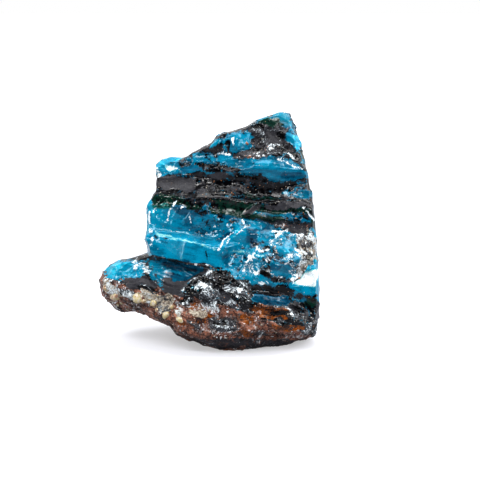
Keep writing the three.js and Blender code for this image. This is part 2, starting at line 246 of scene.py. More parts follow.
def noise(place, size, channel):
    """Smooth noise from -1 to 1: the scatter of the eight corners around, mixed by eased distance."""
    scaled = place / size
    cell = np.floor(scaled)
    t = scaled - cell
    t = t * t * (3 - 2 * t)
    total = np.zeros(len(place))
    for corner in itertools.product((0, 1), repeat=3):
        weight = np.prod(np.where(corner, t, 1 - t), axis=1)
        total += weight * scatter(cell + corner, channel)
    return 2 * total - 1


def rough(place, size, channel, octaves=4):
    """Noise on noise, each layer half as large and half as high as the last."""
    return sum(noise(place, size / 2**n, channel + n) / 2**n for n in range(octaves))


def shells(place, size, lean, unevenness, channel):
    """Shells that meet in ridges: the least, over the 27 cells around, of a bowl about a scattered
    point."""
    scaled = place / size
    home = np.floor(scaled)
    least = np.full(len(place), np.inf)
    for step in itertools.product((-1, 0, 1), repeat=3):
        cell = home + step
        point = np.stack([scatter(cell, channel + axis) for axis in range(3)], axis=1)
        away = scaled - cell - CELL_MARGIN - (1 - 2 * CELL_MARGIN) * point
        tilt = np.stack([scatter(cell, channel + 3 + axis) - 0.5 for axis in range(3)], axis=1) * lean
        start = unevenness * scatter(cell, channel + 6)
        least = np.minimum(least, np.sum(away * away + away * tilt, axis=1) + start)
    return least


def facets(place, size, tilt, unevenness, channel):
    """Flat breaks with steps between them: a place takes the plane of the nearest of the points scattered
    one to a cell, which leans by a random slope and starts at a random height."""
    scaled = place / size
    home = np.floor(scaled)
    least, height = np.full(len(place), np.inf), np.zeros(len(place))
    for step in itertools.product((-1, 0, 1), repeat=3):
        cell = home + step
        point = np.stack([scatter(cell, channel + axis) for axis in range(3)], axis=1)
        away = scaled - cell - point
        slope = np.stack([scatter(cell, channel + 3 + axis) - 0.5 for axis in range(3)], axis=1) * tilt
        squares = np.sum(away * away, axis=1)
        plane = np.sum(away * slope, axis=1) + unevenness * (scatter(cell, channel + 6) - 0.5)
        nearer = squares < least
        least, height = np.where(nearer, squares, least), np.where(nearer, plane, height)
    return height


def bed_at(x, h):
    """The bed that a place lies in: the height of its line at x = 0."""
    return h + (BED_DIP - BED_FLATTENING * h) * x


def along_beds(place):
    """The place with its height measured across the beds, so that patterns follow them."""
    return np.stack([place[:, 0], bed_at(place[:, 0], place[:, 1]), place[:, 2]], axis=1)


def plane_height(plane, x, h):
    """How far out a plane is at a place on the face."""
    point, normal = plane
    return point[2] - (normal[0] * (x - point[0]) + normal[1] * (h - point[1])) / normal[2]


def oval_place(x, h, at, half, turn):
    """The place measured along and across an oval, in its halves: the rim is where the squares add to 1."""
    cos, sin = math.cos(math.radians(turn)), math.sin(math.radians(turn))
    along = ((x - at[0]) * cos + (h - at[1]) * sin) / half[0]
    up = ((h - at[1]) * cos - (x - at[0]) * sin) / half[1]
    return along, up


def cap(row, x, h, bed_edge):
    """A cap on an oval: depth times one less the squares, leaning, and nothing outside its beds."""
    at_x, at_h, half_x, half_h, depth, turn, lean, beds = row
    along, up = oval_place(x, h, (at_x, at_h), (half_x, half_h), turn)
    bed = bed_at(x, h)
    share = np.clip(np.minimum(bed - beds[0], beds[1] - bed) / bed_edge, 0, 1)
    return share * depth * np.maximum(0, 1 - along * along - up * up) * (1 + lean * up)


def front_height(x, h, softness, bed_edge):
    """The front: the lowest plane, plus the highest dome, less the deepest hollow, plus the bed's step."""
    face = plane_height(FRONT_PLANES[0], x, h)
    for plane in FRONT_PLANES[1:]:
        face = soft_min(face, plane_height(plane, x, h), softness)
    dome = np.max([cap(row, x, h, bed_edge) for row in DOMES.values()], axis=0)
    hollow = np.max([cap(row, x, h, bed_edge) for row in HOLLOWS.values()], axis=0)
    return face + dome - hollow + np.interp(bed_at(x, h), BED_RELIEF[:, 0], BED_RELIEF[:, 1])


def back_height(x, h, softness):
    """The back: the highest of its planes, which are all behind the face."""
    back = -plane_height(BACK_PLANES[0], x, h)
    for plane in BACK_PLANES[1:]:
        back = soft_min(back, -plane_height(plane, x, h), softness)
    return -back


def outline_at(towards):
    """How far out the outline is in each direction from the heart, and its row, between the two nearest."""
    rim = OUTLINE[:, :2] - HEART
    angles = np.unwrap(np.arctan2(rim[:, 1], rim[:, 0]))
    turn = np.arctan2(towards[:, 1], towards[:, 0])
    turn = angles[0] + np.mod(turn - angles[0], 2 * math.pi)
    first = np.clip(np.searchsorted(angles, turn, side="right") - 1, 0, len(angles) - 1)
    second = (first + 1) % len(angles)
    cross_first = rim[first, 0] * towards[:, 1] - rim[first, 1] * towards[:, 0]
    cross_second = towards[:, 0] * rim[second, 1] - towards[:, 1] * rim[second, 0]
    share = (cross_first / (cross_first + cross_second))[:, None]
    row = OUTLINE[first] * (1 - share) + OUTLINE[second] * share
    radius = np.linalg.norm(row[:, :2] - HEART, axis=1)
    return radius, row[:, 2], row[:, 3], row[:, 4]


def box_grid(across, deep):
    """The points a, b, c and the quads of a box from -1 to 1: two square faces and a band around them."""
    line = np.linspace(-1, 1, across + 1)
    a, b = (v.ravel() for v in np.meshgrid(line, line))
    face = np.arange((across + 1) ** 2).reshape(across + 1, across + 1)
    rim = np.concatenate([face[0, :-1], face[:-1, -1], face[-1, :0:-1], face[:0:-1, 0]])
    depths = np.linspace(1, -1, deep + 1)
    points = [np.stack([a, b, np.ones_like(a)], axis=1), np.stack([a, b, -np.ones_like(a)], axis=1)]
    rings = [rim]
    count = 2 * len(a)
    for c in depths[1:-1]:
        points.append(np.stack([a[rim], b[rim], np.full(len(rim), c)], axis=1))
        rings.append(np.arange(count, count + len(rim)))
        count += len(rim)
    rings.append(rim + len(a))
    front = np.stack([face[:-1, :-1], face[:-1, 1:], face[1:, 1:], face[1:, :-1]], axis=-1).reshape(-1, 4)
    quads = [front, front[:, ::-1] + len(a)]
    for near, far in zip(rings[:-1], rings[1:]):
        quads.append(np.stack([far, np.roll(far, -1), np.roll(near, -1), near], axis=1))
    return np.concatenate(points), np.concatenate(quads)


def base_skin(box, softness, bed_edge):
    """The two faces and the band between them: a face's point lies at a share of the way from the heart to
    where the band begins, and a band's point goes from there out to the outline by a power of its depth."""
    a, b, c = box.T
    spread = np.maximum(np.abs(a), np.abs(b))
    u, v = a / np.maximum(spread, TINY), b / np.maximum(spread, TINY)
    weights = np.stack([(1 - u) * (1 - v), (1 + u) * (1 - v), (1 + u) * (1 + v), (1 - u) * (1 + v)], axis=1)
    towards = weights @ CORNERS
    towards /= np.linalg.norm(towards, axis=1)[:, None]
    radius, crest, front_bevel, back_bevel = outline_at(towards)
    in_front = c > 0
    bevel = np.where(in_front, front_bevel, back_bevel)
    power = np.where(in_front, BEVEL_POWER["front"], BEVEL_POWER["back"])
    inner = radius - bevel
    on_face = np.abs(c) == 1
    reach = np.where(on_face, inner * spread, radius - bevel * np.abs(c) ** power)
    x, h = (HEART + towards * reach[:, None]).T
    face_x, face_h = (HEART + towards * (inner * np.where(on_face, spread, 1))[:, None]).T
    height = np.where(in_front, front_height(face_x, face_h, softness, bed_edge),
                      back_height(face_x, face_h, softness))
    w = crest + (height - crest) * np.abs(c)
    return np.stack([x, h, w], axis=1)


def coarse_relief(place, c):
    """Large shells all over, less on the outline, and the flakes broken off the sides and the back."""
    shell = shells(along_beds(place), SHELL_CELL, SHELL_LEAN, SHELL_UNEVENNESS, 0) - SHELL_MEAN
    rows = FLAKES.values()
    flakes = [depth * (1 - np.sum(((place - at) / reach) ** 2, axis=1)) for at, reach, depth in rows]
    edge_share = EDGE_SHARE + (1 - EDGE_SHARE) * np.abs(c)
    return shell * SHELL_HEIGHT * edge_share - np.maximum(0, np.max(flakes, axis=0))


def form(box, softness, bed_edge):
    """The base skin with its coarse relief, which stands out along the normal of an oval body and is level
    on the clean breaks, and how far each point lies in one of those."""
    base = base_skin(box, softness, bed_edge)
    outward = (base - OVAL_MIDDLE) / OVAL_HALF**2
    outward /= np.linalg.norm(outward, axis=1)[:, None]
    coarse = coarse_relief(base, box[:, 2])
    clean = np.zeros(len(base))
    for at_x, at_h, half_x, half_h, turn in CLEAN_BREAKS:
        along, up = oval_place(base[:, 0], base[:, 1], (at_x, at_h), (half_x, half_h), turn)
        share = smooth_step(1 - along**2 - up**2, 0, CLEAN_RIM) * smooth_step(base[:, 2], *FRONT_EDGE)
        coarse -= share * (coarse - np.average(coarse, weights=share))
        clean = np.maximum(clean, share)
    return base + outward * coarse[:, None], clean


def stand_up(place, lean, foot_depth):
    """From the face's frame to the stone's, in millimetres: the face leans back and stands on its foot."""
    x, h, w = place.T
    cos, sin = math.cos(lean), math.sin(lean)
    return np.stack([x, h * sin - w * cos, h * cos + w * sin + foot_depth], axis=1)


def normals_of(place, quads):
    """Each point's normal: the sum of its quads' normals, each the cross product of the diagonals."""
    across = np.cross(place[quads[:, 2]] - place[quads[:, 0]], place[quads[:, 3]] - place[quads[:, 1]])
    total = np.zeros_like(place)
    for corner in range(4):
        for axis in range(3):
            total[:, axis] += np.bincount(quads[:, corner], weights=across[:, axis], minlength=len(place))
    return total / np.maximum(np.linalg.norm(total, axis=1), TINY)[:, None]


# ---------------------------------------------------------------- what the stone is made of, place by place

# A look is a set of shares, mostly from 0 to 1: how blue and how green the opal is (black if neither), how
# light its blue, how much of it is brown matrix, rust or quartz, how pale, how finely broken the surface
# is, how dull (rougher, with a painted grey sheen that stands in for a reflection), and how thickly painted
# glints, small white highlights, lie on it. A look leaves out what it has none of.
FIELDS = ("blue", "green", "tone", "matrix", "rust", "quartz", "pale", "broken", "satin_sheen", "fleck")
LOOKS = {
    "blue": {"blue": 1, "tone": 0.5, "broken": 0.16, "fleck": 0.06},
    "ledge": {"blue": 1, "tone": 0.48, "broken": 0},
    "lens": {"blue": 1, "tone": 0.42, "broken": 0.03},
    "deep blue": {"blue": 1, "tone": 0.24, "broken": 0.08},
    "sky": {"blue": 1, "tone": 0.68, "broken": 0.35, "fleck": 0.12},
    "freckled": {"blue": 0.55, "tone": 0.42, "broken": 0.3, "satin_sheen": 0.2, "fleck": 0.2},
    "milk": {"blue": 1, "tone": 0.64, "pale": 0.7, "broken": 0.1},
    "teal": {"blue": 0.7, "green": 0.5, "tone": 0.42, "broken": 0.25, "fleck": 0.06},
    "green": {"blue": 0.52, "green": 1, "tone": 0.05, "broken": 0.1, "satin_sheen": 0.3, "fleck": 0.02},
    "black": {"blue": 0.25, "green": 0.1, "tone": 0.3, "broken": 0.22, "satin_sheen": 0.4, "fleck": 0.08},
    "flaky": {"blue": 0.06, "tone": 0.3, "broken": 0.75, "satin_sheen": 0.55, "fleck": 0.42},
    # Smooth black glass with a painted grey sheen.
    "sheened_glass": {"tone": 0.3, "broken": 0.06, "satin_sheen": 0.85},
    "mottled": {"blue": 0.46, "green": 0.2, "tone": 0.3, "rust": 0.1, "broken": 0.6, "satin_sheen": 0.3,
                "fleck": 0.25},
    "crystal": {"blue": 0.2, "tone": 0.6, "matrix": 0.1, "broken": 1, "satin_sheen": 0.55, "fleck": 0.72},
    "mound": {"blue": 0.5, "tone": 0.48, "matrix": 0.34, "quartz": 0.5, "broken": 0.85, "satin_sheen": 0.4,
              "fleck": 0.7},
    "speckled": {"blue": 0.34, "tone": 0.7, "matrix": 0.46, "quartz": 0.8, "pale": 0.42, "broken": 0.8,
                 "satin_sheen": 0.9, "fleck": 0.9},
    # A painted white highlight on a lit facet.
    "frosted": {"blue": 0.9, "tone": 1, "pale": 1.1, "broken": 0.12, "fleck": 1.15},
    # A pale band with a painted grey sheen and painted glints.
    "rim": {"blue": 0.4, "tone": 0.6, "pale": 0.3, "satin_sheen": 1, "broken": 0.05, "fleck": 0.3},
    "matrix": {"tone": 0.3, "matrix": 0.85, "rust": 0.3, "quartz": 0.15, "broken": 0.8, "satin_sheen": 0.5,
               "fleck": 0.5},
    "crust": {"tone": 0.3, "matrix": 0.95, "rust": 0.3, "quartz": 0.2, "broken": 0.8, "fleck": 0.28},
    "rust": {"tone": 0.3, "matrix": 0.9, "rust": 0.95, "broken": 0.65, "fleck": 0.14},
    "quartz": {"tone": 0.3, "matrix": 1, "rust": 0.1, "quartz": 1, "broken": 0.6, "fleck": 0.3},
    "icy": {"tone": 0.9, "matrix": 0.9, "quartz": 0.9, "broken": 0.5, "satin_sheen": 0.9, "fleck": 1.15},
    "frozen": {"blue": 0.9, "tone": 0.62, "matrix": 0.1, "broken": 0.8, "fleck": 0.95},
    # Dark grey-brown rock; along the foot and under the ledge it also stands for painted shade.
    "soot": {"tone": 0.2, "matrix": 0.38, "broken": 0.5, "satin_sheen": 0.9, "fleck": 0.4},
}
# Overlays change only the shares that they name.
OVERLAYS = {
    # The first two paint highlights, the next a painted grey sheen with glints, the next less of both, and
    # the last two change the tone; in places the darker tone is painted shade.
    "glints": {"fleck": 0.8},
    "glint_white": {"fleck": 1.36, "broken": 0.1},
    "worn": {"satin_sheen": 0.9, "broken": 0.5, "fleck": 0.3},
    "dim": {"satin_sheen": 0.3, "fleck": 0.52},
    "lighter": {"tone": 0.61},
    "darker_tone_and_shade": {"tone": 0.15},
}
# The beds, from the bottom up: where each begins and what it looks like.
BEDS = [
    (-60, "matrix"),
    (-13.4, "crystal"),
    (-9, "black"),
    (-6, "blue"),
    (8, "green"),
    (11.8, "black"),
    (18.6, "teal"),
    (22.4, "mottled"),
]
BED_BLEND = 0.25  # half the height over which one bed turns into the next

# Patches of the face that differ from their bed, painted in order: the look, the middle x, h, the
# half-length and half-width, and the turn in degrees. The glints and the white patches are painted
# highlights.
FRONT_PATCHES = [
    # The peak and the chip under it.
    ("teal", 10.6, 31.2, 5, 3.2, -8),
    ("green", 8.2, 30.6, 2.6, 1.6, 20),
    ("green", 11.6, 29.6, 2.4, 1, -20),
    ("mottled", 12.6, 28.8, 1.8, 1.6, -30),
    ("rust", 8.4, 32.8, 0.9, 0.4, 10),
    ("flaky", 8.6, 25.8, 6.4, 4.6, -14),
    ("sheened_glass", 9, 27.2, 2.6, 1.8, -36),
    ("blue", 13.6, 27, 1.9, 1.3, -40),
    # A painted reflection on the narrow facet that faces right.
    ("sky", 15, 26.2, 1.6, 1.7, -30),
    ("teal", 16, 29.4, 1.2, 1.8, 14),
    ("green", 16.6, 23.2, 1, 1.3, 0),
    ("black", 14.8, 22.6, 1.6, 1.2, -30),
    # The top edge and the steps under it.
    ("blue", 1, 26.2, 3.8, 2.6, 12),
    ("black", -0.9, 25.4, 0.7, 1.6, 0),
    ("black", -4.8, 24.2, 3.9, 1.2, 12),
    ("soot", -6.4, 24.4, 2, 0.5, 16),
    ("sky", -4.6, 25.8, 2.2, 0.6, 20),
    ("mottled", -8.4, 22.4, 4.6, 1.8, 4),
    ("freckled", -7, 21.6, 3.8, 1.6, -8),
    ("teal", -8.6, 22.6, 1.4, 0.7, 10),
    ("mottled", -11.8, 21.9, 2, 1.4, 24),
    ("mottled", -5.4, 20.6, 2.4, 0.8, -8),
    ("freckled", -3.4, 21.2, 3.4, 0.9, -4),
    ("blue", -1.4, 22.1, 2.2, 1.4, -4),
    ("soot", 3.8, 22.7, 3.6, 1.2, -8),
    ("rust", 2.8, 25.6, 0.4, 0.5, 0),
    ("rust", 3.7, 22.1, 0.5, 0.35, 0),
    ("rust", 8.8, 21.8, 0.4, 0.3, 0),
    # The upper blue bed, with its lens and the corner facet.
    ("black", -4, 19.7, 5.6, 1, -6),
    ("lens", 10.6, 19.2, 7.8, 2.6, -8),
    ("lens", 4.6, 20.4, 3.6, 1.2, -8),
    ("deep blue", 13.6, 18, 4, 1, -8),
    ("blue", 7.6, 20.7, 5, 0.8, -8),
    ("black", 17, 20, 1.6, 1.2, -30),
    ("blue", -16.4, 20, 3.2, 2.4, 6),
    ("mottled", -16.4, 22.3, 1.6, 0.5, 14),
    ("sky", -18, 20.4, 1.6, 1.8, -30),
    ("deep blue", -10.8, 19.6, 2.6, 0.9, -4),
    # The black bed.
    ("sheened_glass", -13.6, 16.3, 6.6, 2, -4),
    ("mottled", -12, 17.9, 4.6, 0.5, -6),
    ("flaky", -7.2, 14.6, 2.4, 0.6, -12),
    ("flaky", 1.6, 15.2, 2.2, 0.5, -4),
    ("sheened_glass", -3.6, 18.2, 2.6, 0.7, -8),
    ("mottled", 14.6, 16.4, 4, 0.6, -6),
    ("mottled", 15.8, 13.9, 3.4, 1.5, -4),
    ("teal", 16.8, 13.6, 1.8, 0.9, -4),
    ("teal", 12.2, 13.4, 1.2, 0.6, -4),
    # The green bed.
    ("green", 3.6, 13.2, 1.7, 0.8, -6),
    ("green", 8.6, 12.6, 3, 0.5, -4),
    ("sheened_glass", 12.4, 10.8, 6.8, 0.7, 3),
    ("sheened_glass", 4.4, 9.6, 2.6, 0.7, 42),
    ("green", -14.5, 12.7, 4.6, 0.7, -10),
    ("black", -8, 11.4, 4.4, 0.9, -12),
    ("teal", 9, 8.8, 4.4, 0.45, -4),
    ("mottled", 6.6, 8.2, 2.6, 0.5, -6),
    ("green", 9, 7.2, 8, 1.1, -7),
    ("mottled", 15.4, 7.6, 4, 1.5, -8),
    ("soot", 13.6, 5.8, 6, 1.5, -8),
    ("mottled", 9.6, 5.2, 3, 1, -10),
    ("mottled", 1.6, 6.6, 3.4, 1, -4),
    # The middle blue bed.
    # Painted light along the thin left edge.
    ("sky", -21, 6.8, 0.9, 4.8, 0),
    ("lighter", -17.6, 7.6, 4.6, 3.6, -30),
    ("lighter", -13, 3.6, 5, 1.4, -12),
    ("deep blue", 6.4, 5.6, 4.4, 1.6, -10),
    ("freckled", -7, 6.2, 7, 2.4, -10),
    ("freckled", 4, 6, 4, 1.4, -6),
    ("soot", -9.9, 7.4, 1.6, 0.6, 74),
    ("mottled", -8.2, 8.6, 2.2, 0.9, 10),
    ("mottled", -6.8, 9.9, 0.8, 0.7, 60),
    ("mottled", -3.4, 7, 1.4, 1.4, -10),
    ("mottled", -7.4, 4.6, 1.1, 1.2, 70),
    ("black", -16.2, 3.2, 1.1, 0.7, 10),
    ("mottled", -18.2, 3.7, 1, 0.8, 10),
    ("deep blue", -4.6, 5, 3.2, 1.8, -10),
    ("deep blue", -10.6, 7.6, 1.8, 2.2, 20),
    ("darker_tone_and_shade", -0.6, 7.8, 3, 0.9, -8),
    ("deep blue", -13, 9.4, 2.4, 1.2, -30),
    ("freckled", -5, 6, 5, 2, -10),
    ("blue", 1.8, 3, 5, 2.2, 36),
    ("deep blue", 4.6, 2.6, 1.6, 2.6, 34),
    ("mottled", 4.8, 1, 1.6, 2, 30),
    # The ledge.
    ("ledge", -8.6, -0.9, 12, 2.9, -10),
    ("deep blue", -0.4, -2.6, 2.6, 1.5, -14),
    ("freckled", 1.4, -1.8, 2.4, 2, 40),
    ("mottled", 0.6, -3.6, 1.8, 0.8, -20),
    # The lobe and the bowl under the ledge.
    ("sky", -26.6, -4.4, 6.4, 3.2, -4),
    ("deep blue", -13.4, -5, 7.4, 3, -8),
    ("blue", -18.4, -4.6, 2.4, 2.6, -30),
    ("sheened_glass", -15, -8.8, 4.2, 1.7, -24),
    ("black", -24.6, -1.7, 3.4, 0.7, 2),
    ("mottled", -22.2, -3, 2, 0.9, -35),
    ("mottled", -25.6, -2.7, 1.4, 0.7, 20),
    ("black", -20.8, -3.9, 0.9, 0.5, -50),
    ("sky", -29.4, -3, 2.4, 0.8, 34),
    ("sheened_glass", -22.6, -7.9, 5.2, 1.5, -8),
    # The matrix of the lobe and the neck.
    ("crystal", -20.6, -9.4, 3.6, 1, -20),
    ("speckled", -30.6, -8.6, 2.2, 1.6, -50),
    ("crystal", -26.6, -10.4, 4.4, 1.5, -20),
    ("icy", -29.2, -9.8, 3.3, 1.5, -44),
    ("icy", -25.4, -11.6, 3.2, 1.3, -6),
    ("quartz", -28.8, -11.6, 1.6, 1.3, 0),
    ("quartz", -23.2, -11.2, 1.4, 1.3, 0),
    ("speckled", -18.4, -12.2, 4.4, 1.9, -30),
    ("icy", -20.2, -10.8, 2.6, 0.8, -36),
    ("icy", -12.6, -14.6, 0.9, 2, 8),
    ("speckled", -15.6, -11.2, 1.4, 1.8, 20),
    ("glints", -15.2, -12.6, 2.4, 2.2, 20),
    ("matrix", -24, -13.4, 8, 1.2, -22),
    # The dark block of crystals.
    ("crystal", -4.6, -9, 8.2, 4.4, 8),
    ("matrix", -9.6, -13.6, 4.4, 1.6, -10),
    ("crystal", -10.6, -11, 3, 1.4, 30),
    ("dim", -3.8, -6.8, 2.6, 1.5, 14),
    ("glints", 0.9, -8.6, 2.1, 1.5, 0),
    ("glint_white", 1.2, -8.9, 1.2, 0.9, 80),
    ("glint_white", -7.8, -8.4, 1.5, 0.7, 24),
    ("worn", -1.6, -11, 1.8, 0.9, 20),
    # The mound.
    ("blue", 6.4, -7.2, 3.4, 1.5, -6),
    ("mound", 9, -1.4, 6.8, 6.2, 12),
    ("frozen", 4.2, -0.8, 1.3, 2.4, -36),
    ("frozen", 4, -4, 2.6, 1.6, -10),
    ("frozen", 6.4, -7.2, 2.4, 1.1, -4),
    ("freckled", 7.4, 2.2, 2.4, 1.8, 0),
    ("sky", 11.4, 0.3, 2, 1.1, -16),
    ("mottled", 10.2, -2, 1.9, 1.2, -10),
    ("blue", 11, -4.5, 2.7, 1.4, -10),
    ("deep blue", 9.6, -3.9, 1.4, 0.8, 10),
    ("speckled", 17.6, 1.2, 2.9, 5, -3),
    ("speckled", 15.6, -4.6, 1.2, 4, -28),
    ("sheened_glass", 15.4, 5, 3, 0.7, -16),
    # The layers under the mound.
    ("black", 14.6, -7.4, 3.6, 0.8, -4),
    ("mottled", 18, -7.2, 2, 1, 0),
    ("black", 10.4, -8.8, 7, 1, -4),
    ("blue", 16.2, -8.8, 4, 0.8, -6),
    ("black", 14, -10.6, 6.6, 0.9, -4),
    ("deep blue", 9.4, -11.6, 6, 1.1, -6),
    ("darker_tone_and_shade", 9.4, -11.6, 5.6, 1.1, -6),
    ("mottled", 15, -11.4, 3, 0.6, -6),
    # The matrix along the foot.
    ("rust", 8, -14.4, 5.4, 1.9, -6),
    ("rust", 2.6, -16, 2.4, 1.2, -30),
    ("black", 10.8, -14.9, 2, 0.8, 0),
    ("black", 15.2, -13, 3, 1.5, -10),
    ("green", 18.4, -12.4, 1.6, 1.2, 0),
    ("rust", 13, -18, 4.4, 0.8, -6),
    ("rust", -6.6, -15.8, 2.2, 1.1, 14),
    ("soot", -3.6, -17, 3.4, 1.5, -10),
    ("soot", -9.4, -17.4, 1.8, 0.7, -30),
    ("soot", 6.4, -19.4, 2.6, 0.6, -8),
    ("rust", -12.4, -17.2, 1.6, 0.7, -30),
    ("rust", 2.4, -19.6, 2, 0.6, -10),
    ("flaky", -2, -17.3, 2.9, 1.8, -10),
    ("glints", -2.8, -17, 1.4, 1.1, 0),
    ("rust", -8.8, -12.8, 1.8, 1, 30),
    ("glints", -8.6, -13.6, 2.6, 1.5, 20),
    ("glint_white", -10.8, -11.4, 0.9, 0.7, 60),
    ("glints", -5.2, -13.6, 3, 1.1, -20),
    ("quartz", -8.4, -14.4, 2.4, 0.9, -10),
    # Darker along the foot: dark rock, and painted shade under the stone.
    ("soot", 3.6, -22.2, 20, 1.5, -2),
]
# Facets with straight sides, painted over the patches: the look and the corners x, h, anticlockwise.
FACETS = [
    # Painted highlights on the corner facet that faces the lamps.
    ("glints", ((-17.4, 20.9), (-15.7, 18.4), (-12.8, 20.9))),
    ("frosted", ((-17.2, 20.6), (-15.6, 18.8), (-13.4, 20.6))),
    ("glints", ((-19.1, 20.3), (-18.6, 17.6), (-17.2, 17.8), (-18, 20.3))),
    ("deep blue", ((-17.2, -3.6), (-11, -6.4), (-6.6, -4.6), (-11, -3.6), (-17.2, -2.2))),
    ("lens", ((-15.6, -4.8), (-11.4, -7), (-7.6, -5), (-11.6, -4))),
    ("sheened_glass", ((-17.6, -6.2), (-14.4, -10.6), (-12.2, -9.4), (-11, -7.4), (-14.6, -6.2))),
    # A painted highlight on the white facet, and painted glints on the lit side of the mound.
    ("frosted", ((13.2, -7.9), (20.6, -8.8), (20.6, -3.8), (16.8, -4.8))),
    ("glints", ((10.4, -6.4), (13.8, -7.8), (17.2, -3.6), (16.4, -1.4))),
    # Painted shade beside the slant ridge.
    ("darker_tone_and_shade", ((-4.4, 2.5), (-3.2, 1.6), (0.2, 4.2), (-1, 5))),
    ("darker_tone_and_shade", ((3.4, 0.2), (5.6, 1.4), (6.2, 5), (3.6, 5.2))),
]
